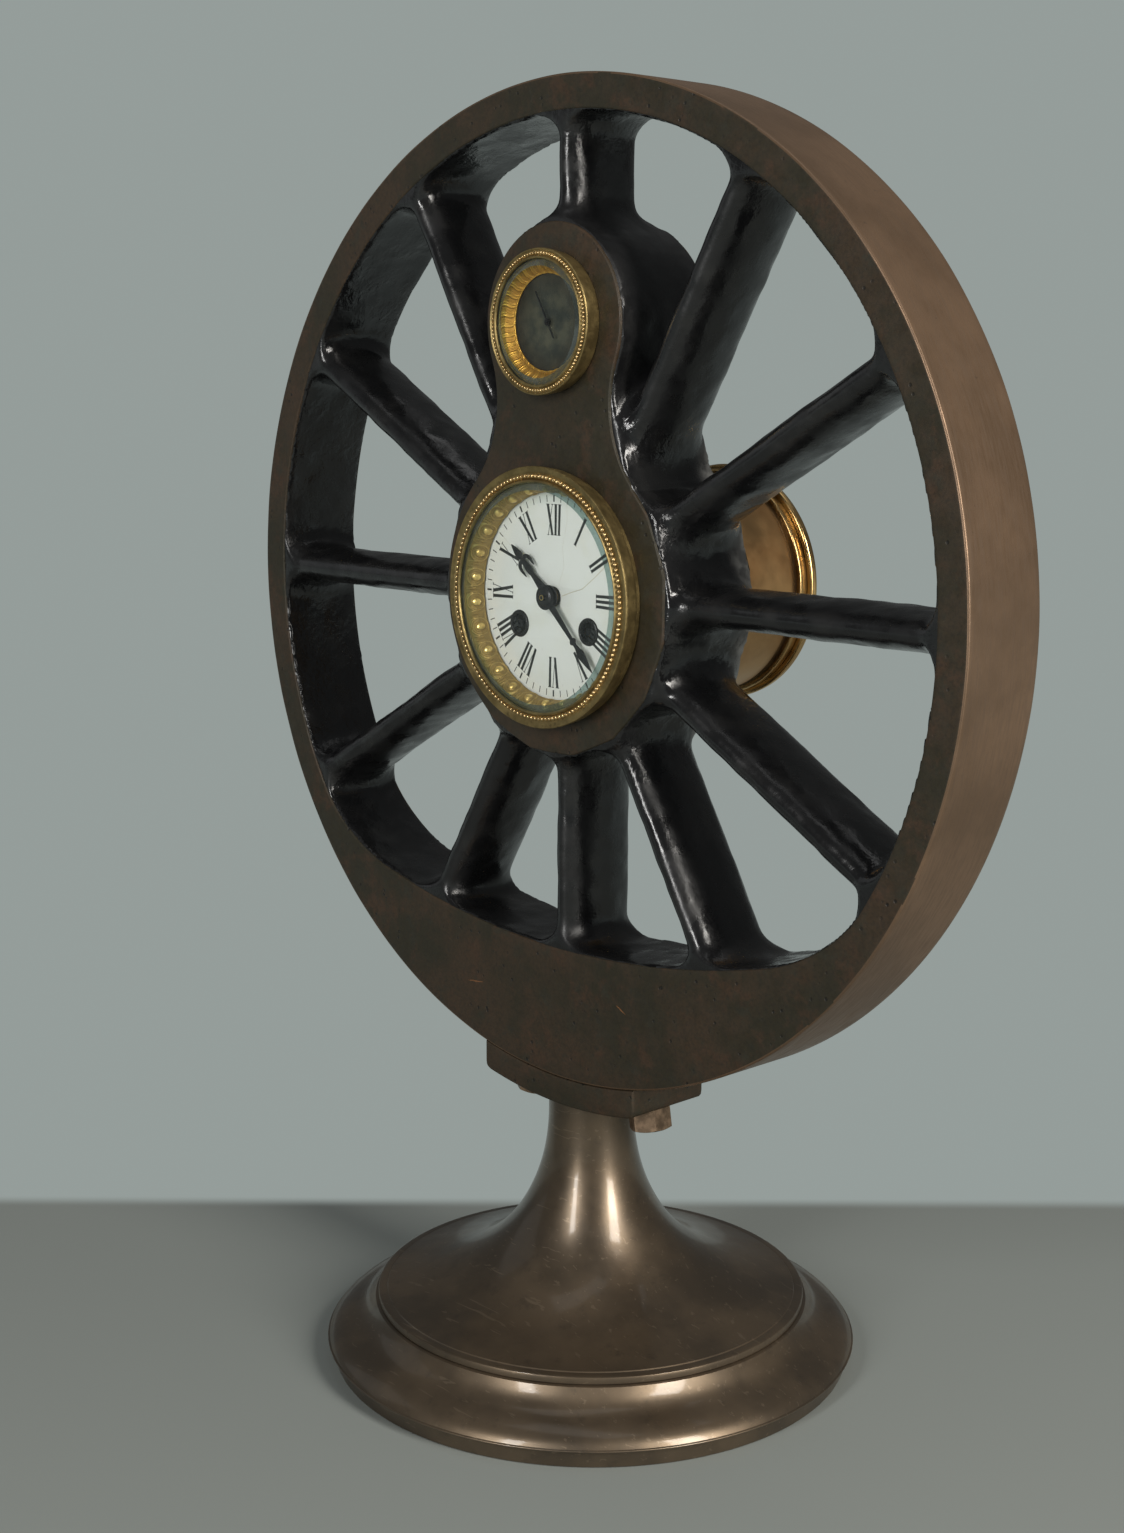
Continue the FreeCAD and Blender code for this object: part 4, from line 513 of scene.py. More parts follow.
def plain_metal(name, colour, roughness, metallic=1.0, shift=0.35, size=5.0):
    """A machined or cast metal whose tone and gloss wander a little."""
    f = Finish(name, colour, roughness, metallic)
    f.colour(f.mix(f.ramp(f.noise(size, 5, 0.6), 0.36, 0.66), colour, tuple(c * (1 - shift) for c in colour)))
    f.roughness(f.ramp(f.noise(size * 0.7, 4), 0.3, 0.7, max(0.05, roughness - 0.07), roughness + 0.09))
    f.bump(f.noise(0.6, 3), 0.03, 0.25)
    return f.material


def enamel():
    """Hard glossy white enamel, faintly yellowed in patches, with a few specks."""
    f = Finish("dial_enamel_white", (0.84, 0.85, 0.79), 0.16, 0.0, Coat_Weight=0.4, Coat_Roughness=0.05,
               Specular_IOR_Level=0.5)
    stain = f.ramp(f.noise(14, 5, 0.6), 0.46, 0.74, 0.0, 0.7)
    colour = f.mix(stain, (0.88, 0.90, 0.86), (0.83, 0.84, 0.75))
    colour = f.mix(f.ramp(f.noise(1.1, 2), 0.735, 0.76, 0.0, 0.5), colour, (0.45, 0.40, 0.30))
    f.colour(colour)
    f.roughness(f.ramp(f.noise(10, 3), 0.3, 0.7, 0.12, 0.22))
    f.bump(f.noise(11, 2), 0.12, 0.15)
    return f.material


def tarnished_dial():
    """The barometer's blue-grey tarnished plate with green and brown clouds."""
    f = Finish("dial_metal_tarnished", (0.10, 0.11, 0.10), 0.36, 0.75)
    cloud = f.ramp(f.noise(9, 6, 0.65), 0.36, 0.66)
    colour = f.mix(cloud, (0.064, 0.072, 0.060), (0.150, 0.146, 0.100))
    # The plate is darker and browner from 9 mm out towards its rim.
    colour = f.mix(f.ramp(f.radius(BOSS_Z), 9.0, 22.0, 0.0, 0.75), colour, (0.060, 0.048, 0.032))
    f.colour(colour)
    f.roughness(f.ramp(f.noise(5, 5), 0.3, 0.7, 0.28, 0.50))
    f.bump(f.noise(0.8, 4), 0.04, 0.3)
    return f.material


def clear_glass(name, tint, mirror_share, haze_and_painted_reflection):
    """Glass that lets lamps through: a see-through shader under a mirror coat, with a pale diffuse sheet
    mixed in: a faint haze on flat glass, and on the bevel a painted reflection of the pale surroundings.
    """
    f = Finish(name, tint, 0.03)
    clear = f.node("ShaderNodeBsdfTransparent", Color=(*tint, 1.0))
    mirror = f.node("ShaderNodeBsdfGlossy", Color=(0.96, 0.98, 0.97, 1.0), Roughness=0.04)
    # A pale grey-green diffuse sheet: faint haze on flat glass, and on the bevel a painted reflection.
    dust = f.node("ShaderNodeBsdfDiffuse", Color=(0.62, 0.68, 0.66, 1.0))
    haze_and_reflection_share = f.ramp(f.noise(12, 4), 0.35, 0.75, haze_and_painted_reflection * 0.4, haze_and_painted_reflection)
    edge_on = f.node("ShaderNodeLayerWeight", Blend=0.5).outputs["Facing"]
    shine = f.math("ADD", f.math("POWER", edge_on, 5.0), mirror_share)
    haze_and_reflection_shader = f.mix_shaders(haze_and_reflection_share, clear.outputs[0], dust.outputs[0])
    f.surface(f.mix_shaders(shine, haze_and_reflection_shader, mirror.outputs[0]))
    f.tree.nodes.remove(f.shader)
    return f.material


PATINA = brown_patina()
TREAD = tread_patina()
BLACK = black_paint()
BRONZE = pedestal_bronze()
BRASS = aged_brass()
# The third colour is for the relief's hollows, where a piece has them: grime and painted shade.
GILT = gilt("gilt_repousse", (0.86, 0.50, 0.080), (0.68, 0.38, 0.055), (0.40, 0.20, 0.026), 0.32, 0.70)
OLD_GILT = gilt("gilt_tarnished", (0.98, 0.72, 0.24), (0.74, 0.51, 0.15), (0.36, 0.24, 0.070), 0.30, 0.62)
PEARLS = gilt("gilt_pearls", (0.66, 0.48, 0.24), (0.50, 0.34, 0.15), (0.105, 0.072, 0.020), 0.24, 0.85)
ENAMEL = enamel()
TARNISHED = tarnished_dial()
# The drum darkens from 73 mm back: painted shade by the rear ring, with some grime.
DRUM = spun_brass("drum_brass_spun", (0.44, 0.265, 0.118), (0.31, 0.172, 0.072), 0.38, 0.10, shade_and_dirt_from=73.0)
RING = spun_brass("drum_ring_polished", (0.60, 0.40, 0.17), (0.46, 0.28, 0.11), 0.24, 0.06)
WORKS = spun_brass("movement_brass_dull", (0.66, 0.47, 0.18), (0.48, 0.32, 0.12), 0.30, 0.15)
STEEL = plain_metal("steel_polished", (0.50, 0.50, 0.49), 0.24)
HANDS = plain_metal("blued_steel_dark", (0.034, 0.034, 0.036), 0.38, 0.8, 0.5, 2.5)
EYELET = plain_metal("winding_collet_black", (0.016, 0.016, 0.017), 0.30, 0.5, 0.5, 2.0)
BOLTS = plain_metal("bolt_coppery_steel", (0.27, 0.185, 0.120), 0.40, 0.8, 0.55, 6.0)
BELL = plain_metal("bell_metal_grey", (0.58, 0.52, 0.40), 0.20)
INK = plain_metal("numeral_black", (0.018, 0.020, 0.019), 0.34, 0.0, 0.3, 3.0)
CRACK = plain_metal("dial_hairline_stain", (0.60, 0.54, 0.38), 0.5, 0.0, 0.3, 4.0)
RUST = plain_metal("scratch_orange", (0.26, 0.115, 0.045), 0.5, 0.3, 0.3, 2.0)
GLASS = clear_glass("glass_clear", (0.99, 0.998, 0.995), 0.02, 0.012)
# The bevel's teal tint and its stronger pale sheet stand in for what the ground bevel reflects and refracts:
# painted reflection and painted shade.
BEVEL = clear_glass("glass_bevel", (0.34, 0.46, 0.44), 0.05, 0.12)


# ================================================================ wheel casting

FACETS = 16
FACET_SHARE = 0.85


def facet_cut(angle):
    """How far the hand-finished hub outline lies inside its circle, for an angle in radians."""
    step = 2 * math.pi / FACETS
    off = (angle + 0.2) % step - step / 2
    flat = HUB_R * (1 - math.cos(step / 2) / np.cos(off))
    side = 0.55 + 0.45 * np.cos(angle + 0.6)
    return FACET_SHARE * side * flat


def waist_circle():
    """Radius and centre of the hollow blend that joins the hub and the boss."""
    slope = (HUB_R - BOSS_R) / BOSS_Z
    level = (BOSS_Z ** 2 + HUB_R ** 2 - BOSS_R ** 2) / (2 * BOSS_Z)
    linear = 2 * WAIST_HALF + 2 * slope * level - 2 * HUB_R
    constant = WAIST_HALF ** 2 + level ** 2 - HUB_R ** 2
    radius = (-linear - math.sqrt(linear ** 2 - 4 * slope ** 2 * constant)) / (2 * slope ** 2)
    return radius, WAIST_HALF + radius, level + slope * radius


WAIST_R, WAIST_X, WAIST_Z = waist_circle()
HUB_TOUCH = math.degrees(math.atan2(WAIST_Z, WAIST_X))
BOSS_TOUCH = math.degrees(math.atan2(WAIST_Z - BOSS_Z, WAIST_X))


def hub_outline():
    """The keyhole outline of hub, waist and boss as one loop of points."""
    hub = []
    for degrees in np.linspace(180 - HUB_TOUCH, 360 + HUB_TOUCH, 260):
        a = math.radians(degrees)
        r = HUB_R - float(facet_cut(np.array(a)))
        hub.append((r * math.cos(a), r * math.sin(a)))
    right = arc((WAIST_X, WAIST_Z), WAIST_R, 180 + HUB_TOUCH, 180 + BOSS_TOUCH, 30)[1:-1]
    boss = arc((0, BOSS_Z), BOSS_R, BOSS_TOUCH, 180 - BOSS_TOUCH, 120)
    left = [(-x, z) for x, z in reversed(right)]
    return hub + right + boss + left


def hub_distance(x, z):
    """Signed distance to the keyhole outline, negative inside the metal."""
    angle = np.arctan2(z, x)
    hub = np.hypot(x, z) - HUB_R + facet_cut(angle)
    boss = np.hypot(x, z - BOSS_Z) - BOSS_R
    side = np.abs(x)
    turn = np.degrees(np.arctan2(WAIST_Z - z, WAIST_X - side))
    between = (turn > BOSS_TOUCH) & (turn < HUB_TOUCH) & (side < WAIST_X)
    waist = WAIST_R - np.hypot(side - WAIST_X, z - WAIST_Z)
    return np.where(between, waist, np.minimum(hub, boss))


def round_join(a, b, radius):
    """The union of two signed distances, with a fillet."""
    corner = np.hypot(np.maximum(radius - a, 0), np.maximum(radius - b, 0))
    return np.maximum(radius, np.minimum(a, b)) - corner


def round_cut(a, b, radius):
    return -round_join(-a, -b, radius)


def opening_distance(x, z):
    """Signed distance to the edge of the wheel's opening, negative in the open space."""
    rim = np.hypot(x, z) - RIM_INNER_R
    weight = np.hypot(x, z - ARC_Z) - CRESCENT_R
    return round_cut(rim, weight, CRESCENT_FILLET)


def opening_radius(angle):
    """Distance from the wheel's centre to the opening's edge, for each angle in radians."""
    low, high = np.full_like(angle, 120.0), np.full_like(angle, 210.0)
    for _ in range(40):
        middle = (low + high) / 2
        inside = opening_distance(middle * np.cos(angle), middle * np.sin(angle)) < 0
        low, high = np.where(inside, middle, low), np.where(inside, high, middle)
    return low


def worn(vertices, keep, amount, size, seed):
    """Sink vertices towards keep's directions by smooth noise, so that faces aren't dead flat."""
    depth = amount * (0.5 + 0.5 * lumps(vertices, size, seed))
    return vertices + keep * depth[:, None]


def wheel_ring():
    """Rim and balance weight in one casting: flat faces, eased edges and a machined tread."""
    columns, face_rows, tread_rows = 540, 14, 18
    angle = np.linspace(0, 2 * math.pi, columns, endpoint=False)
    inner = opening_radius(angle)
    corner = 0.9
    ease = [(corner * (1 - math.cos(t)), corner * (1 - math.sin(t))) for t in np.linspace(0, math.pi / 2, 4)]
    rows = []
    for inset, back in ease:
        rows.append((inner + inset, np.full(columns, -RIM_FACE + back)))
    for t in np.linspace(0, 1, face_rows)[1:-1]:
        rows.append((inner + corner + (WHEEL_R - inner - 2 * corner) * t, np.full(columns, -RIM_FACE)))
    for inset, back in reversed(ease):
        rows.append((np.full(columns, WHEEL_R - inset), np.full(columns, -RIM_FACE + back)))
    for y in np.linspace(-RIM_FACE + corner, RIM_FACE - corner, tread_rows)[1:-1]:
        rows.append((np.full(columns, WHEEL_R), np.full(columns, y)))
    front = len(ease) + face_rows - 2 + len(ease)
    rows += [(r, -y) for r, y in reversed(rows[:front])]
    radius = np.array([r for r, _ in rows])
    depth = np.array([y for _, y in rows])
    vertices = about_wheel(radius, depth, angle)
    none = np.zeros_like(depth)
    inward = -np.sign(depth) * (np.abs(depth) > RIM_FACE - 1.0)
    flat = np.stack([none, inward, none], -1).reshape(-1, 3)
    vertices = worn(vertices, flat, 0.22, 17, 3)
    on_tread = radius > WHEEL_R - 1.0
    out = np.stack([-np.cos(angle) * on_tread, 0 * depth, -np.sin(angle) * on_tread], -1).reshape(-1, 3)
    vertices = worn(vertices, out, 0.16, 26, 4)

    def tread(mesh):
        centre = face_centres(mesh)
        return (np.hypot(centre[:, 0], centre[:, 2] - WHEEL_Z * MM) > (WHEEL_R - 0.8) * MM).astype(np.int32)

    add_mesh("wheel_rim_casting", vertices, grid_faces(len(rows), columns, wrap_rows=True), [PATINA, TREAD],
             stands_for=("wheel_rim", "wheel_counterweight"), slot="wheel_iron", faces_material=tread)


def hub_casting():
    """Hub and boss: flat worn faces, an eased edge, and the two bores."""
    outline = hub_outline()
    seam = -3.0
    plate("hub_front_casting", [outline, circle(HUB_BORE_R), circle(BARO_BORE_R, (0, BOSS_Z))],
          -HUB_FACE, seam, 0.9, PATINA, steps=3, stands_for=("wheel_hub",), slot="wheel_iron", sharp=50)
    plate("hub_rear_casting", [outline, circle(HUB_BORE_R)], seam, HUB_FACE, 0.9, PATINA, steps=3,
          stands_for=("wheel_hub",), slot="wheel_iron", sharp=50)


PAINT_SKIN = 0.62
PAINT_THICK = 2.6
ROOT_FILLET = 10.5


def painted_distance(points):
    """Signed distance to the black-painted inside of the wheel: spokes, hub sides and rim's inside."""
    x, y, z = points[..., 0], points[..., 1], points[..., 2]
    hub, opening = hub_distance(x, z), opening_distance(x, z)
    step = 2 * math.pi / SPOKES
    turn = np.arctan2(x, z)
    off = turn - np.round(turn / step) * step
    radius = np.hypot(x, z)
    across = radius * np.sin(off)
    a, b = SPOKE_HALF_WIDTH, SPOKE_HALF_DEPTH
    k0 = np.hypot(across / a, y / b)
    k1 = np.hypot(across / a ** 2, y / b ** 2)
    spoke = k0 * (k0 - 1) / np.maximum(k1, 1e-6)
    body = round_join(spoke, hub - PAINT_SKIN, ROOT_FILLET)
    body = round_join(body, -opening - PAINT_SKIN, ROOT_FILLET)
    limit = np.where(hub < -opening, HUB_FACE - 0.75, RIM_FACE - 0.7)
    body = round_cut(body, np.abs(y) - limit, 0.8)
    return np.maximum(body, np.maximum(opening, -hub) - PAINT_THICK)


def painted_wheel():
    """One skin of thick paint over spokes, hub sides and rim, meshed from its distance field."""
    voxel = 1.72
    reach = np.array([RIM_INNER_R + 5, HUB_FACE + 3, RIM_INNER_R + 5])
    count = (2 * reach / voxel).astype(int) + 1
    axes = [np.arange(n) * voxel - r for n, r in zip(count, reach)]
    field = np.stack(np.meshgrid(*axes, indexing="ij"), -1)
    grid = openvdb.FloatGrid(3 * voxel)
    grid.copyFromArray(np.clip(painted_distance(field), -3 * voxel, 3 * voxel).astype(np.float32))
    grid.gridClass = openvdb.GridClass.LEVEL_SET
    points, quads = grid.convertToQuads(0.0)
    points = np.array(points, float) * voxel - reach
    tiny = 0.02
    for _ in range(4):
        value = painted_distance(points)
        slope = np.stack([painted_distance(points + step) - painted_distance(points - step)
                          for step in tiny * np.eye(3)], -1) / (2 * tiny)
        size = np.maximum((slope ** 2).sum(-1), 0.25)
        points = points - slope * np.clip(value / size, -0.8, 0.8)[:, None]
    normal = slope / np.maximum(np.linalg.norm(slope, axis=-1), 1e-6)[:, None]
    off_hub = hub_distance(points[:, 0], points[:, 2])
    seen = (opening_distance(points[:, 0], points[:, 2]) < 1.0) & (off_hub > -1.0)
    root = np.exp(-np.maximum(off_hub - 4, 0) / 9)
    bulge = 0.34 * lumps(points, 13, 11) + 0.20 * lumps(points, 6, 12) + 0.20 * root * lumps(points, 4.2, 13)
    points = points + normal * (bulge * seen)[:, None]
    points[:, 1] = np.clip(points[:, 1], -HUB_FACE + 0.5, HUB_FACE - 0.5)
    points[:, 2] += WHEEL_Z
    add_mesh("painted_spokes", points, np.array(quads)[:, ::-1], BLACK, stands_for=("wheel_spokes",),
             slot="black_paint", sharp=60)


def scratch(name, start, end, width):
    """A thin bright scrape on the balance weight's face, with pointed ends."""
    a, b = np.array(start, float), np.array(end, float)
    along = (b - a) / np.linalg.norm(b - a)
    side = np.array([-along[1], along[0]])
    loop = [a, a + 0.3 * (b - a) + side * width, b, a + 0.6 * (b - a) - side * width]
    plate(name, [loop], -RIM_FACE - 0.03, -RIM_FACE + 0.4, 0.01, RUST, steps=0, slot="wheel_iron")


wheel_ring()
hub_casting()
painted_wheel()
scratch("scratch_long", (-62, -186), (-50, -184.5), 0.35)
scratch("scratch_short", (38, -176), (44, -179), 0.3)


# ================================================================ pedestal

def saddle_underside(x):
    return WHEEL_Z - np.sqrt(SADDLE_R ** 2 - np.asarray(x, float) ** 2)


def foot():
    profile = [(104, 2.5), (110, 0.4), (118.6, 0), (119.3, 0.7), (119.9, 7.7), (120.0, 8.4), (121.6, 8.4),
               (122.4, 8.45), (122.7, 8.9), (122.5, 9.25), (121.9, 9.5)]
    curve = [(121.9, 9.5), (121.3, 10.6), (120.3, 11.9), (118.9, 13.2), (117.1, 14.4), (115.0, 15.5),
             (112.6, 16.5), (110.1, 17.4), (107.7, 18.4), (105.5, 19.8), (103.6, 21.6), (102.0, 23.7),
             (100.8, 25.7), (100.3, 26.6)]
    profile = rounded(profile, 0.5, 3) + curve[1:] + [(99.0, 27.0), (60, 27.0), (60, 21.5), (90, 21.0)]
    lathe("pedestal_foot_turned", profile, BRONZE, axis="z", segments=256,
          stands_for=("pedestal_foot",), slot="pedestal_bronze", sharp=35)


def trumpet_radius(z):
    """The flare: a hyperbola that swells a little towards the neck."""
    swell = SWELL * np.maximum(0.0, np.asarray(z) - SWELL_FROM) ** 2
    return FLARE_PRODUCT / (z - FLARE_FLOOR) - FLARE_INSET + swell


def column():
    """The trumpet from its thin disc edge to the neck, cut to the curve under the saddle."""
    edge = [(58, 27.02), (98.2, 27.02), (98.9, 27.4), (99.0, 29.4), (98.7, 30.2), (98.0, 30.55)]
    low = trumpet_radius(FLARE_LOW)
    levels = FLARE_LOW + (FLARE_TOP - FLARE_LOW) * np.linspace(0, 1, 64) ** 1.6
    flare = [(low + 0.4, 30.6)] + [(trumpet_radius(z), z) for z in levels]
    neck = [(NECK_R, 120.0), (NECK_R, NECK_TOP), (14.0, NECK_TOP), (8.0, NECK_TOP)]
    profile = np.array(edge + flare + neck)
    vertices, faces = turned(profile, axis="z", segments=256)
    top = vertices[:, 2] > NECK_TOP - 0.4
    vertices[top, 2] = saddle_underside(vertices[top, 0]) + 0.05
    under = vertices[:, 0] * (np.abs(vertices[:, 0]) < 60)
    vertices[:, 2] = np.minimum(vertices[:, 2], saddle_underside(under) + 0.05)
    add_mesh("pedestal_column_turned", vertices, faces, BRONZE, stands_for=("pedestal_column",),
             slot="pedestal_bronze", sharp=32)


def saddle_block():
    half = SADDLE_HALF
    tread = math.degrees(math.asin(half / WHEEL_R))
    under = math.degrees(math.asin((half - 3.2) / SADDLE_R))
    low = arc((0, 0), SADDLE_R, 270 - under, 270 + under, 60)
    high = arc((0, 0), WHEEL_R + 0.02, 270 + tread, 270 - tread, 60)
    z = -math.sqrt(SADDLE_R ** 2 - half ** 2)
    right = [(half - 1.3, z + 0.15), (half - 0.3, z + 1.3), (half, z + 3.2)]
    loop = low + right + high + [(-x, z) for x, z in reversed(right)]
    plate("saddle_block", [loop], -RIM_FACE, RIM_FACE, 0.9, PATINA, steps=3, stands_for=("saddle",),
          slot="pedestal_bronze", sharp=45)


def hex_head(name, side):
    """A chamfered hexagon head under the saddle, square to the wheel's tread."""
    height, sides = BOLT_HEAD, 96
    angle = np.linspace(0, 2 * math.pi, sides, endpoint=False)
    reach = BOLT_HALF_FLATS / np.cos((angle + math.pi / 6) % (math.pi / 3) - math.pi / 6)
    bearing = -SADDLE_R - 0.2
    rows = [(0.02 * reach, np.zeros(sides)), (np.full(sides, BOLT_SEAT_R), np.zeros(sides))]
    for share in (0.25, 0.5, 0.75, 1.0):
        r = BOLT_SEAT_R + (reach - BOLT_SEAT_R) * share
        rows.append((r, 0.45 * np.maximum(r - 7.9, 0)))
    rows.append((reach, 0.45 * np.maximum(reach - 7.9, 0) + 0.5))
    for up in (0.5, 1.0):
        rows.append((reach, np.full(sides, height * up)))
    rows.append((0.4 * reach, np.full(sides, height)))
    radius = np.array([r for r, _ in rows])
    up = np.array([u for _, u in rows])
    points = [radius * np.cos(angle), radius * np.sin(angle), bearing - height + up]
    points = np.stack(points, -1).reshape(-1, 3)
    turn = Matrix.Rotation(-side * math.asin(BOLT_OFFSET / SADDLE_R), 3, "Y")
    points = points @ np.array(turn).T
    points[:, 2] += WHEEL_Z
    last = (len(rows) - 1) * sides
    caps = [list(range(sides - 1, -1, -1)), list(range(last, last + sides))]
    faces = grid_faces(len(rows), sides).tolist() + caps
    add_mesh(name, points, faces, BOLTS, stands_for=("saddle_bolts",), slot="bolt_steel", sharp=30)


foot()
column()
saddle_block()
hex_head("saddle_bolt_left", -1)
hex_head("saddle_bolt_right", 1)


# ================================================================ main bezel and dial

BEZEL_BEADS, BEZEL_BEAD_ROW = 145, 52.15
BARO_BEADS, BARO_BEAD_ROW = 106, 28.4
GLASS_R = 51.4
GLASS_FLAT_R = 46.2


def set_attribute(mesh, name, vertices, value):
    """Store a value per vertex, in the made points' order, if none was merged; vertices is not used."""
    layer = mesh.attributes.new(name, "FLOAT", "POINT")
    if len(mesh.vertices) == len(value):
        layer.data.foreach_set("value", value.astype(np.float32))


def bead_row(name, count, row_r, y, bead_r, material, centre_z=0.0, **more):
    """Domed beads standing on a ring, as one piece."""
    rings, sides = 5, 10
    tilt = np.linspace(math.radians(4), math.radians(118), rings)
    around = np.linspace(0, 2 * math.pi, sides, endpoint=False)
    local = np.stack([np.outer(np.sin(tilt), np.cos(around)), -np.outer(np.cos(tilt), np.ones(sides)),
                      np.outer(np.sin(tilt), np.sin(around))], -1).reshape(-1, 3) * bead_r
    quads = grid_faces(rings, sides)
    last = (rings - 1) * sides
    vertices, faces = [], []
    for k in range(count):
        a = 2 * math.pi * k / count
        place = np.array([row_r * math.cos(a), y, WHEEL_Z + centre_z + row_r * math.sin(a)])
        base = k * len(local)
        vertices.append(local + place)
        faces += (quads + base).tolist()
        faces.append([base + s for s in range(sides)])
        faces.append([base + last + s for s in reversed(range(sides))])
    add_mesh(name, np.concatenate(vertices), faces, material, sharp=70, **more)


def rib(t, centre, width):
    return np.exp(-((t - centre) / width) ** 2)


def relief_ring(name, profile, rows, columns, height, back, material, centre_z=0.0, **more):
    """A thin cone whose seen side is embossed: height(u, v) in mm, u round the ring and v up the cone."""
    front = np.array(profile, float)
    span = np.concatenate([[0], np.cumsum(np.linalg.norm(np.diff(front, axis=0), axis=1))])
    v = np.linspace(0, 1, rows)
    r = np.interp(v, span / span[-1], front[:, 0])
    y = np.interp(v, span / span[-1], front[:, 1])
    slope = np.stack([np.gradient(r), np.gradient(y)], -1)
    slope /= np.linalg.norm(slope, axis=1)[:, None]
    u = np.linspace(0, 1, columns, endpoint=False)
    rise = height(u[None, :], v[:, None])
    normal_r, normal_y = slope[:, 1], -slope[:, 0]
    flip = np.where(normal_y > 0, -1.0, 1.0)
    radius = r[:, None] + rise * (normal_r * flip)[:, None]
    depth = y[:, None] + rise * (normal_y * flip)[:, None]
    back = np.array(back, float)
    radius = np.concatenate([radius, np.repeat(back[:, :1], columns, 1)])
    depth = np.concatenate([depth, np.repeat(back[:, 1:], columns, 1)])
    vertices = about_wheel(radius, depth, 2 * math.pi * u, centre_z)
    faces = grid_faces(len(radius), columns, wrap_rows=True)
    obj = add_mesh(name, vertices, faces, material, sharp=75, **more)
    # How low each point of the relief lies, 0 on the tops and 1 in the hollows; the gilt darkens by it as
    # grime and painted shade.
    low = 1 - (rise - rise.min()) / (rise.max() - rise.min())
    value = np.ones(len(vertices))
    value[:rise.size] = low.reshape(-1)
    set_attribute(obj.data, "hollow", vertices, value)


EGGS = 26
LOBES = 34


def egg_and_dart(u, v):
    """Domed eggs, each in a raised collar that opens towards the dial, with darts between."""
    cell = (u * EGGS) % 1 - 0.5
    x, z = cell * 2 * math.pi * 47.2 / EGGS, (v - 0.5) * 8.8
    egg = 1 - (x / 1.9) ** 2 - ((z - 0.7) / 2.2) ** 2
    dome = 1.15 * np.sqrt(np.maximum(egg, 0))
    ring = np.sqrt((x / 3.9) ** 2 + ((z - 0.6) / 3.7) ** 2)
    collar = 0.60 * np.exp(-((ring - 1) / 0.12) ** 2) * (z > -3.2)
    inner = 0.34 * np.exp(-((ring - 0.74) / 0.09) ** 2)
    away = 5.7 - np.abs(x)
    spread = 1.6 + 0.35 * (z + 3.4)
    fan = sum(0.5 * rib(away, 0.55 * k * spread, 0.28) * rib(z, -0.6 - 0.4 * k, 2.4) for k in (0, 1))
    edge = 0.35 * (rib(v, 0.02, 0.04) + rib(v, 0.98, 0.04))
    return np.maximum(np.maximum(dome, collar), np.maximum(np.maximum(fan, inner), edge)) - 0.12


def slanted_lobes(u, v):
    """Leaning S-shaped lobes with thin raised rims."""
    t = (u * LOBES + 0.55 * v + 0.16 * np.sin(2 * math.pi * v)) % 1
    lobe = 0.42 * np.sin(math.pi * t) ** 0.8
    veins = sum(0.24 * rib(t, place, 0.055) for place in (0.05, 0.33, 0.62, 0.95))
    ends = 0.42 * (rib(v, 0.03, 0.05) + rib(v, 0.97, 0.05))
    return (lobe + veins) * (0.50 + 0.50 * np.sin(math.pi * v)) + ends - 0.1


def dial_bezel():
    ring = [(50.6, -28.75), (55.3, -28.75), (55.4, -29.3), (55.7, -30.0), (56.1, -33.6), (56.45, -35.0),
            (56.45, -35.8), (56.15, -36.15), (55.7, -36.0), (54.0, -35.75), (53.4, -35.5),
            (52.2, -35.4), (51.1, -35.5), (50.85, -35.9), (50.5, -36.55), (50.05, -36.85),
            (49.6, -36.65), (49.4, -36.1), (49.4, -35.3), (51.55, -34.7), (51.6, -33.25), (50.6, -33.2)]
    lathe("bezel_ring_turned", rounded(ring + ring[:1], 0.18, 3)[:-1], BRASS, segments=288,
          body="front_bezel", stands_for=("bezel_ring",), slot="aged_brass", sharp=32)
    bead_row("bezel_beads", BEZEL_BEADS, BEZEL_BEAD_ROW, -35.75, 0.98, PEARLS, body="front_bezel",
             slot="aged_brass")
    profile = [(49.7, -33.7), (46.1, -29.5), (45.1, -25.5)]
    back = [(45.9, -25.5), (46.3, -26.8), (46.3, -28.9), (50.2, -33.0), (50.2, -33.75)]
    relief_ring("bezel_egg_and_dart", profile, 34, EGGS * 40, egg_and_dart, back, OLD_GILT,
                body="front_bezel", stands_for=("bezel_sight_ring",), slot="gilt")
    hinge_ear("bezel_hinge_ear", -58.8, -30.0, 1.9, 4.0, (-54.6, -31.4, -29.6), "front_bezel", BRASS,
              "aged_brass", ("bezel_ring",))
    pane("bezel_glass_bevelled", GLASS_R, GLASS_FLAT_R, -36.2, -34.6, -34.1, 0.0, "front_bezel",
         "bezel_glass")


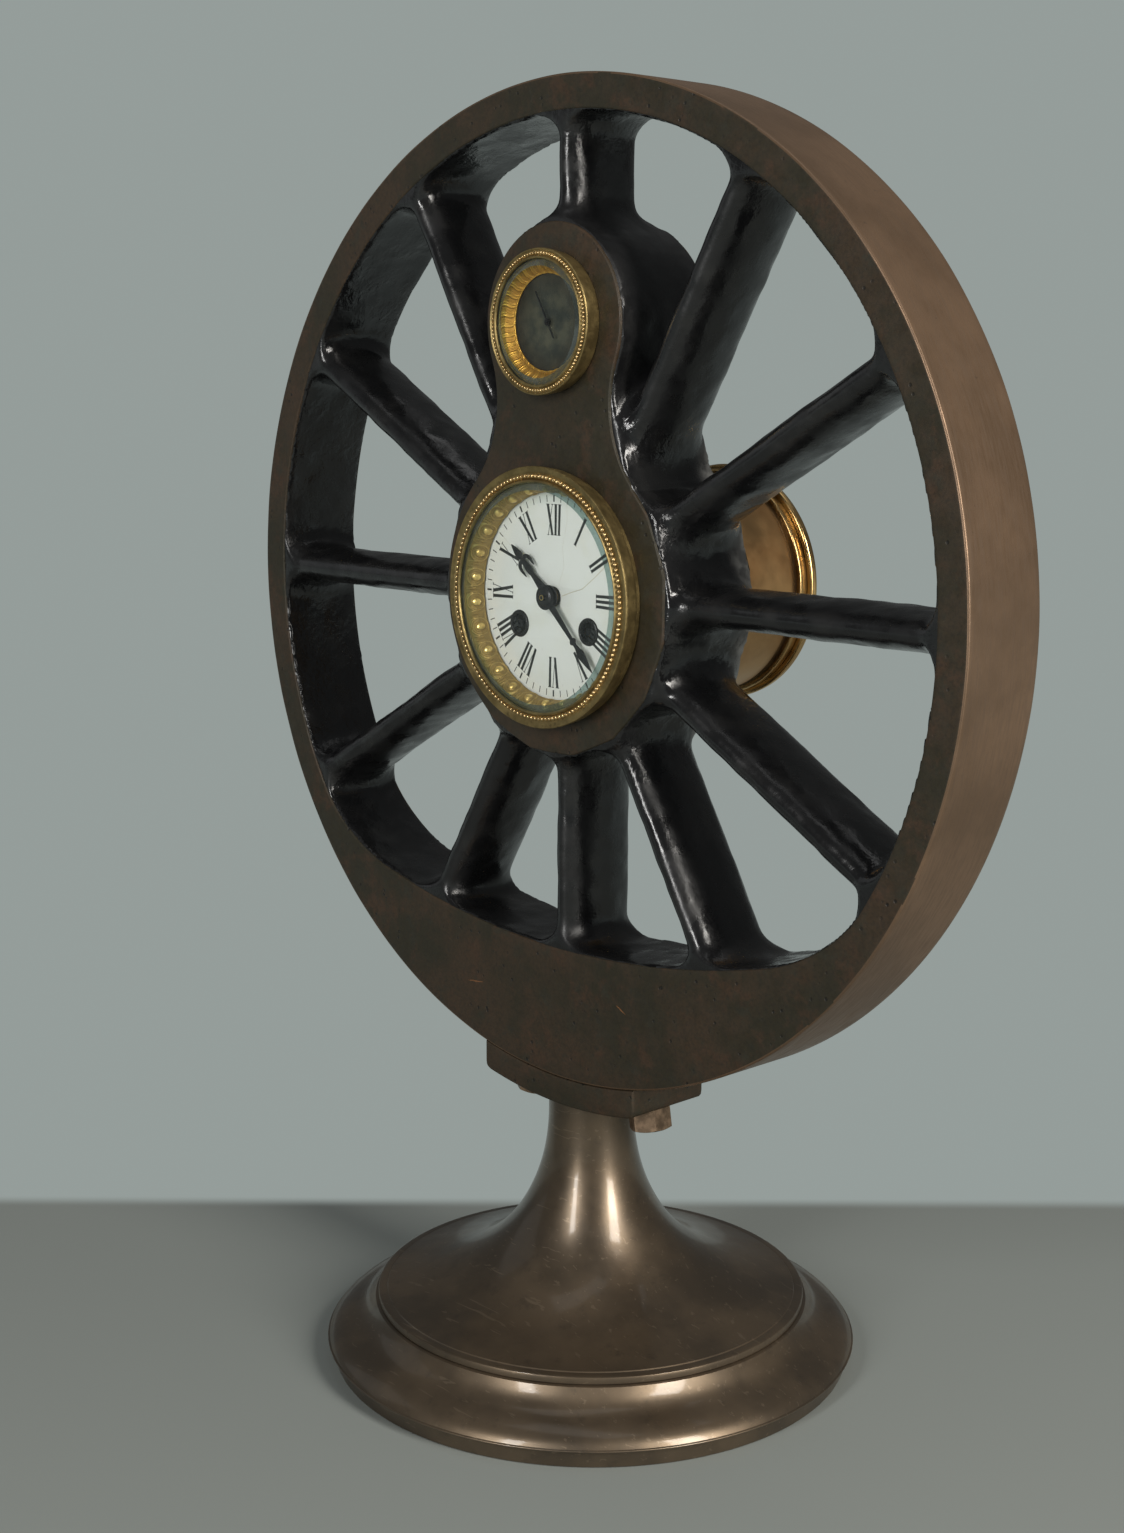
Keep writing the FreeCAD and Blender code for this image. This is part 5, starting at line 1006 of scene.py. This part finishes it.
def hinge_ear(name, x, y, radius, half, tab, body, material, slot, stands_for):
    """A drilled knuckle with the leaf that ties it to its ring."""
    barrel = [(0.86, -half), (radius - 0.3, -half), (radius, -half + 0.3), (radius, half - 0.3),
              (radius - 0.3, half), (0.86, half)]
    vertices, faces = turned(barrel, axis="z", segments=40, closed=True)
    vertices = vertices + np.array([x, y, WHEEL_Z])
    inner, y0, y1 = tab
    edge = 0.15
    leaf = []
    for h, grow in ((-half, -edge), (-half + edge, 0), (half - edge, 0), (half, -edge)):
        x0, x1 = x + math.copysign(radius * 0.5, inner - x), inner
        leaf += [(x0, y0 - grow, WHEEL_Z + h), (x1, y0 - grow, WHEEL_Z + h), (x1, y1 + grow, WHEEL_Z + h),
                 (x0, y1 + grow, WHEEL_Z + h)]
    base = len(vertices)
    leaf_faces = (grid_faces(4, 4) + base).tolist() + [[base + 3, base + 2, base + 1, base],
                                                       [base + 12, base + 13, base + 14, base + 15]]
    vertices = np.concatenate([vertices, np.array(leaf)])
    add_mesh(name, vertices, faces.tolist() + leaf_faces, material, body=body, stands_for=stands_for,
             slot=slot, sharp=35)


def pane(name, radius, flat, front, edge, rear, centre_z, body, node):
    """A flat glass with a wide ground bevel."""
    profile = [(0.02, front), (flat * 0.5, front), (flat, front), (radius - 0.12, edge), (radius, edge + 0.1),
               (radius, rear - 0.05), (radius - 0.1, rear), (0.02, rear)]

    def bevelled(mesh):
        centre = face_centres(mesh) / MM
        out = np.hypot(centre[:, 0], centre[:, 2] - WHEEL_Z - centre_z)
        return ((out > flat) & (centre[:, 1] < edge + 0.2)).astype(np.int32)

    lathe(name, profile, [GLASS, BEVEL], centre=(0, centre_z), segments=256, body=body,
          stands_for=(node,), slot="glass", sharp=12, faces_material=bevelled)


# ---------------------------------------------------------------- numerals and minute marks

ENAMEL_FRONT = box_mm("dial_enamel")[0][1]
NUMERAL_LOW = 26.5
NUMERAL_TALL = 13.4
MARK_INNER, MARK_OUTER = 40.9, 43.8
ENAMEL_R = 46.4
THICK = 1.34
THIN = 0.30
LETTER_WIDTH = {"I": 2.3, "V": 4.3, "X": 4.6}


def stroke(u0, v0, u1, v1, width):
    """A straight stroke between two heights, width measured along the dial's rim."""
    return [(u0 - width / 2, v0), (u0 + width / 2, v0), (u1 + width / 2, v1), (u1 - width / 2, v1)]


def serif(u, v, half):
    """A hairline serif."""
    return [(u - half, v), (u + half, v), (u + half, v + THIN), (u - half, v + THIN)]


def letter(kind, u):
    tall, top, wide = NUMERAL_TALL, NUMERAL_TALL - THIN, THICK * 1.05
    if kind == "I":
        return [stroke(u, 0, u, tall, THICK), serif(u, 0, 0.98), serif(u, top, 0.98)]
    if kind == "V":
        return [stroke(u - 1.25, tall, u + 0.15, 0, wide), stroke(u + 1.45, tall, u + 0.1, 0, THIN),
                serif(u - 1.25, top, 1.0), serif(u + 1.45, top, 0.62)]
    return [stroke(u - 1.35, tall, u + 1.35, 0, wide), stroke(u + 1.4, tall, u - 1.4, 0, THIN),
            serif(u - 1.3, top, 1.0), serif(u + 1.4, top, 0.62), serif(u + 1.3, 0, 1.0),
            serif(u - 1.4, 0, 0.62)]


def on_dial(shapes, degrees, lift):
    """Turn flat shapes (u across, v outwards from the centre) to a clock angle, as thin prisms."""
    vertices, faces = [], []
    turn = math.radians(degrees)
    for shape in shapes:
        n, base = len(shape), len(vertices)
        for y in (ENAMEL_FRONT - lift, ENAMEL_FRONT + 0.1):
            for u, v in shape:
                x = u * math.cos(turn) + v * math.sin(turn)
                z = -u * math.sin(turn) + v * math.cos(turn)
                vertices.append((x, y, WHEEL_Z + z))
        faces += [list(range(base, base + n)), list(range(base + 2 * n - 1, base + n - 1, -1))]
        faces += [[base + k, base + (k + 1) % n, base + n + (k + 1) % n, base + n + k] for k in range(n)]
    return vertices, faces


def join_shapes(name, parts, material, **more):
    vertices, faces = [], []
    for v, f in parts:
        faces += [[len(vertices) + k for k in face] for face in f]
        vertices += v
    add_mesh(name, vertices, faces, material, **more)


def dial_marks():
    words = ("XII", "I", "II", "III", "IIII", "V", "VI", "VII", "VIII", "IX", "X", "XI")
    parts = []
    for hour, word in enumerate(words):
        width = sum(LETTER_WIDTH[c] for c in word)
        u, shapes = -width / 2, []
        for c in word:
            shapes += letter(c, u + LETTER_WIDTH[c] / 2)
            u += LETTER_WIDTH[c]
        lowered = []
        for shape in shapes:
            lowered.append([(a * (1 + 0.010 * (b - 6)), b + NUMERAL_LOW) for a, b in shape])
        parts.append(on_dial(lowered, hour * 30, 0.05))
    join_shapes("dial_numerals", parts, INK, slot="enamel")
    ticks = []
    for minute in range(60):
        half = 0.42 if minute % 5 == 0 else 0.20
        mark = [(-half, MARK_INNER), (half, MARK_INNER), (half, MARK_OUTER), (-half, MARK_OUTER)]
        ticks.append(on_dial([mark], minute * 6, 0.045))
    join_shapes("dial_minute_marks", ticks, INK, slot="enamel")


def crack(points, width):
    """A hairline across the enamel as a thin zigzag ribbon."""
    points = [np.array(p, float) for p in points]
    shapes = []
    for a, b in zip(points, points[1:]):
        along = (b - a) / np.linalg.norm(b - a)
        side = np.array([-along[1], along[0]]) * width / 2
        shapes.append([tuple(a - side), tuple(b - side), tuple(b + side), tuple(a + side)])
    return on_dial(shapes, 0, 0.02)


def dial_face():
    holes = [circle(4.3, count=48)] + [circle(5.15, (s * WINDING_X, WINDING_Z), 48) for s in (-1, 1)]
    plate("enamel_disc", [circle(ENAMEL_R, count=192)] + holes, ENAMEL_FRONT, ENAMEL_FRONT + 1.0, 0.2, ENAMEL,
          stands_for=("dial_enamel",), slot="enamel", sharp=50)
    dial_marks()
    join_shapes("dial_hairlines", [
        crack([(5.2, 0.6), (11, 2.6), (18, 4.6), (25, 9.6), (31, 14.2), (37, 22.5)], 0.26),
        crack([(3.0, 4.6), (6.5, 13), (5.6, 22), (8.4, 33), (7.9, 44.6)], 0.06),
        crack([(-4.4, 3.4), (-15, 9.5), (-24, 17.2), (-36, 26.5)], 0.08),
        crack([(4.4, -4.2), (12, -14.2), (21, -22.2), (31, -32.2)], 0.09)], CRACK, slot="enamel")
    for side, word in ((-1, "left"), (1, "right")):
        ring = [(4.3, -25.0), (4.45, -25.35), (4.9, -25.6), (5.5, -25.5), (5.95, -25.1), (6.05, ENAMEL_FRONT),
                (5.1, ENAMEL_FRONT + 0.1), (5.1, -22.9), (4.3, -22.9)]
        lathe(f"winding_eyelet_{word}", ring, EYELET, centre=(side * WINDING_X, WINDING_Z), segments=64,
              stands_for=("winding_collets",), slot="blued_steel", sharp=50)


# ---------------------------------------------------------------- hands

MINUTE = 22.6
HOUR_TIP, MINUTE_TIP = 32.25, 41.85
HOUR_EDGE = [(2.3, 4.6), (1.75, 8.4), (1.3, 12.0), (1.15, 14.2), (1.55, 15.8), (1.7, 17.2), (1.5, 19.2),
             (1.2, 21.0), (1.35, 21.8), (2.2, 21.7), (2.95, 20.9), (3.3, 19.6), (3.35, 17.9),
             (3.75, 15.9), (4.2, 17.9), (4.5, 20.0), (4.3, 21.7), (3.5, 23.0), (2.2, 23.6), (1.0, 23.6),
             (0.85, 24.1), (1.85, 25.1), (1.9, 26.2), (1.4, 28.4), (0.7, 30.7)]
MINUTE_EDGE = [(1.75, 4.2), (1.6, 7.0), (1.45, 10.0), (1.25, 15.0), (1.0, 20.0), (0.85, 23.3),
               (1.5, 23.8), (1.95, 24.7), (1.5, 25.6), (0.85, 26.1), (0.9, 27.6), (1.3, 29.2),
               (1.95, 30.8), (2.1, 32.0), (1.85, 33.8), (1.3, 36.5), (0.7, 39.2)]


def hand_loop(edge, tip, boss):
    """A hand's outline pointing up, from its right-hand edge, its tip and its round boss."""
    start = math.degrees(math.atan2(edge[0][1], edge[0][0]))
    base = arc((0, 0), boss, 180 - start, 360 + start, 48)
    right = [p for p in edge if math.hypot(*p) > boss]
    return base + right + [(0.06, tip), (-0.06, tip)] + [(-x, z) for x, z in reversed(right)]


def hands():
    hour_angle, minute_angle = (10 + MINUTE / 60) * 30, MINUTE * 6
    hour_low, hour_high = box_mm("hour_hand")
    minute_low, minute_high = box_mm("minute_hand")
    plate("hour_hand_pierced", [hand_loop(HOUR_EDGE, HOUR_TIP, 5.2), circle(2.8, count=40)],
          hour_low[1], hour_high[1], 0.16, HANDS, place=turn_about_wheel(hour_angle), body="hour_work",
          stands_for=("hour_hand",), slot="blued_steel", sharp=35)
    plate("minute_hand_spear", [hand_loop(MINUTE_EDGE, MINUTE_TIP, 4.4), circle(1.8, count=40)],
          minute_low[1], minute_high[1], 0.15, HANDS, place=turn_about_wheel(minute_angle),
          body="minute_work", stands_for=("minute_hand",), slot="blued_steel", sharp=35)
    collet = [(1.3, -29.86), (5.4, -29.86), (5.5, -30.0), (5.35, -30.2), (4.9, -30.32), (4.4, -30.28),
              (4.1, -30.16), (3.9, -30.28), (3.5, -30.6), (2.9, -30.82), (2.1, -30.92), (1.3, -30.94)]
    lathe("hand_collet_stepped", collet, HANDS, segments=72, body="minute_work",
          stands_for=("hand_collet",), slot="blued_steel", sharp=30)


def centre_tip():
    """The steel end of the centre arbor, standing through the collet."""
    low = box_mm("centre_wheel")[0][1]
    profile = [(0.02, low - 0.01), (0.85, low), (1.24, low + 0.35), (1.24, low + 2.0), (0.02, low + 2.0)]
    lathe("centre_arbor_tip", profile, HANDS, segments=40, body="centre_arbor", slot="steel", sharp=35)


dial_bezel()
dial_face()
hands()
centre_tip()


# ================================================================ barometer

def barometer():
    ring = [(25.0, -26.55), (29.35, -26.55), (29.55, -27.0), (30.45, -33.0), (30.5, -34.4), (30.25, -34.85),
            (29.8, -34.85), (29.4, -34.5), (28.4, -34.4), (27.5, -34.5), (27.2, -35.1), (26.8, -35.5),
            (26.35, -35.4), (26.1, -34.95), (26.1, -34.1), (27.45, -33.7), (27.5, -32.65),
            (26.6, -32.6), (26.6, -28.7), (25.0, -28.6)]
    lathe("barometer_bezel_turned", rounded(ring + ring[:1], 0.15, 3)[:-1], BRASS, centre=(0, BOSS_Z),
          segments=224, stands_for=("barometer_bezel",), slot="aged_brass", sharp=32)
    bead_row("barometer_beads", BARO_BEADS, BARO_BEAD_ROW, -34.6, 0.72, PEARLS, centre_z=BOSS_Z,
             slot="aged_brass")
    profile = [(26.3, -33.0), (24.3, -31.4), (22.0, -29.7), (20.4, -28.5)]
    back = [(20.4, -28.06), (21.6, -28.06), (26.45, -31.5), (26.5, -33.0)]
    relief_ring("barometer_lobed_ring", profile, 26, LOBES * 24, slanted_lobes, back, GILT, centre_z=BOSS_Z,
                stands_for=("barometer_sight_ring",), slot="gilt")
    pane("barometer_glass_bevelled", 27.3, 23.2, -34.6, -33.6, -33.3, BOSS_Z, FRAME_BODY, "barometer_glass")
    dial = [(0.95, -27.9), (1.3, -28.0), (2.4, -28.0), (10.0, -27.92), (17.0, -27.86), (20.0, -27.95),
            (24.2, -27.95), (24.2, -27.45), (0.95, -27.45)]
    lathe("barometer_dial_dished", dial, TARNISHED, centre=(0, BOSS_Z), segments=128,
          stands_for=("barometer_dial",), slot="dial_metal", sharp=40)


barometer()


# ================================================================ drum

def drum():
    profile = [(48.9, -26.4), (50.0, -26.4), (50.0, 20.0), (50.0, 60.0), (50.0, 74.6), (49.75, 74.8),
               (49.75, 75.3), (50.0, 75.5), (50.0, 79.9), (48.9, 79.9)]
    lathe("drum_case_spun", profile, DRUM, segments=256, stands_for=("drum_case",), slot="drum_brass",
          sharp=25)


drum()


# ================================================================ carried-over CAD nodes

BY_SLOT = {"pedestal_bronze": BRONZE, "wheel_iron": PATINA, "black_paint": BLACK, "aged_brass": BRASS,
           "gilt": GILT, "drum_brass": RING, "movement_brass": WORKS, "steel": STEEL,
           "blued_steel": HANDS, "bolt_steel": BOLTS, "enamel": ENAMEL, "dial_metal": TARNISHED,
           "glass": GLASS, "bell_metal": BELL}

for row in frame["record"]["subparts"]:
    for material_slot in NODES[row["node"]].material_slots:
        material_slot.material = BY_SLOT[row["material_slot"]]
for node in ("hand_pin", "going_winding_arbor", "strike_winding_arbor"):
    for material_slot in NODES[node].material_slots:
        material_slot.material = HANDS


# ================================================================ stage, light and camera

CAMERA_AT = (0.6749, -0.6470, 0.4477)
CAMERA_HEADING = math.radians(47.08)
CAMERA_PITCH = math.radians(-10.46)
CAMERA_ROLL = math.radians(0.21)
CAMERA_LENS = 49.83
FLOOR_EDGE = 1.100
FLOOR_FADE = (700.0, 2200.0)
ROOM_LIGHT = (0.085, 0.089, 0.088)


def camera():
    data = bpy.data.cameras.new("camera")
    data.lens = CAMERA_LENS
    data.sensor_width = 36.0
    data.clip_end = 100.0
    obj = bpy.data.objects.new("camera", data)
    look = Vector((-math.sin(CAMERA_HEADING) * math.cos(CAMERA_PITCH),
                   math.cos(CAMERA_HEADING) * math.cos(CAMERA_PITCH), math.sin(CAMERA_PITCH)))
    right = Vector((math.cos(CAMERA_HEADING), math.sin(CAMERA_HEADING), 0))
    up = right.cross(look)
    rolled = math.cos(CAMERA_ROLL) * right + math.sin(CAMERA_ROLL) * up
    above = rolled.cross(look)
    basis = Matrix((rolled, above, -look)).transposed().to_4x4()
    obj.matrix_world = Matrix.Translation(CAMERA_AT) @ basis
    bpy.context.scene.collection.objects.link(obj)
    bpy.context.scene.camera = obj


def floor_and_world(wall, floor_colour):
    """A pale matt table top that turns into the plain background behind the clock."""
    mesh = bpy.data.meshes.new("floor")
    size = 40.0
    corners = [(-size, -size, 0), (size, -size, 0), (size, size, 0), (-size, size, 0)]
    mesh.from_pydata(corners, [], [(0, 1, 2, 3)])
    obj = bpy.data.objects.new("floor", mesh)
    bpy.context.scene.collection.objects.link(obj)
    f = Finish("floor_matt", floor_colour, 0.75)
    heading = (-math.sin(CAMERA_HEADING), math.cos(CAMERA_HEADING), 0)
    ahead = f.vector("DOT_PRODUCT", f.where, heading)
    camera_along = CAMERA_AT[0] * heading[0] + CAMERA_AT[1] * heading[1]
    behind = f.ramp(ahead, camera_along + FLOOR_EDGE - 0.004, camera_along + FLOOR_EDGE + 0.012)
    past = f.math("MAXIMUM", behind, f.ramp(f.radius(axis="z"), *FLOOR_FADE))
    plain = f.node("ShaderNodeEmission", Color=(*wall, 1.0), Strength=1.0)
    f.surface(f.mix_shaders(past, f.shader.outputs[0], plain.outputs[0]))
    mesh.materials.append(f.material)
    world = bpy.data.worlds.new("studio")
    world.use_nodes = True
    nodes, links = world.node_tree.nodes, world.node_tree.links
    seen = nodes["Background"]
    seen.inputs["Color"].default_value = (*wall, 1.0)
    room = nodes.new("ShaderNodeBackground")
    room.inputs["Color"].default_value = (*ROOM_LIGHT, 1.0)
    mixed = nodes.new("ShaderNodeMixShader")
    links.new(nodes.new("ShaderNodeLightPath").outputs["Is Camera Ray"], mixed.inputs[0])
    links.new(room.outputs[0], mixed.inputs[1])
    links.new(seen.outputs[0], mixed.inputs[2])
    links.new(mixed.outputs[0], nodes["World Output"].inputs["Surface"])
    bpy.context.scene.world = world


def softbox(name, at, aim, width, height, watts, colour=(1.0, 1.0, 1.0)):
    data = bpy.data.lights.new(name, "AREA")
    data.shape = "RECTANGLE"
    data.size, data.size_y = width, height
    data.energy = watts
    data.color = colour
    obj = bpy.data.objects.new(name, data)
    obj.location = at
    obj.rotation_euler = (Vector(aim) - Vector(at)).to_track_quat("-Z", "Y").to_euler()
    bpy.context.scene.collection.objects.link(obj)


bpy.context.scene.view_settings.view_transform = "Standard"
camera()
floor_and_world((0.300, 0.338, 0.325), (0.222, 0.243, 0.230))
CENTRE = (0.0, 0.0, 0.3)
softbox("key_right", (1.9, -0.06, 1.02), CENTRE, 0.5, 1.3, 50, (1.0, 0.96, 0.90))
softbox("front_window", (0.42, -1.75, 0.85), CENTRE, 0.26, 1.1, 21, (1.0, 0.99, 0.97))
softbox("left_fill", (-1.8, -0.9, 1.1), CENTRE, 1.2, 1.4, 1.4, (0.93, 0.97, 1.0))
softbox("top", (0.0, 0.3, 2.4), CENTRE, 1.4, 1.4, 5)
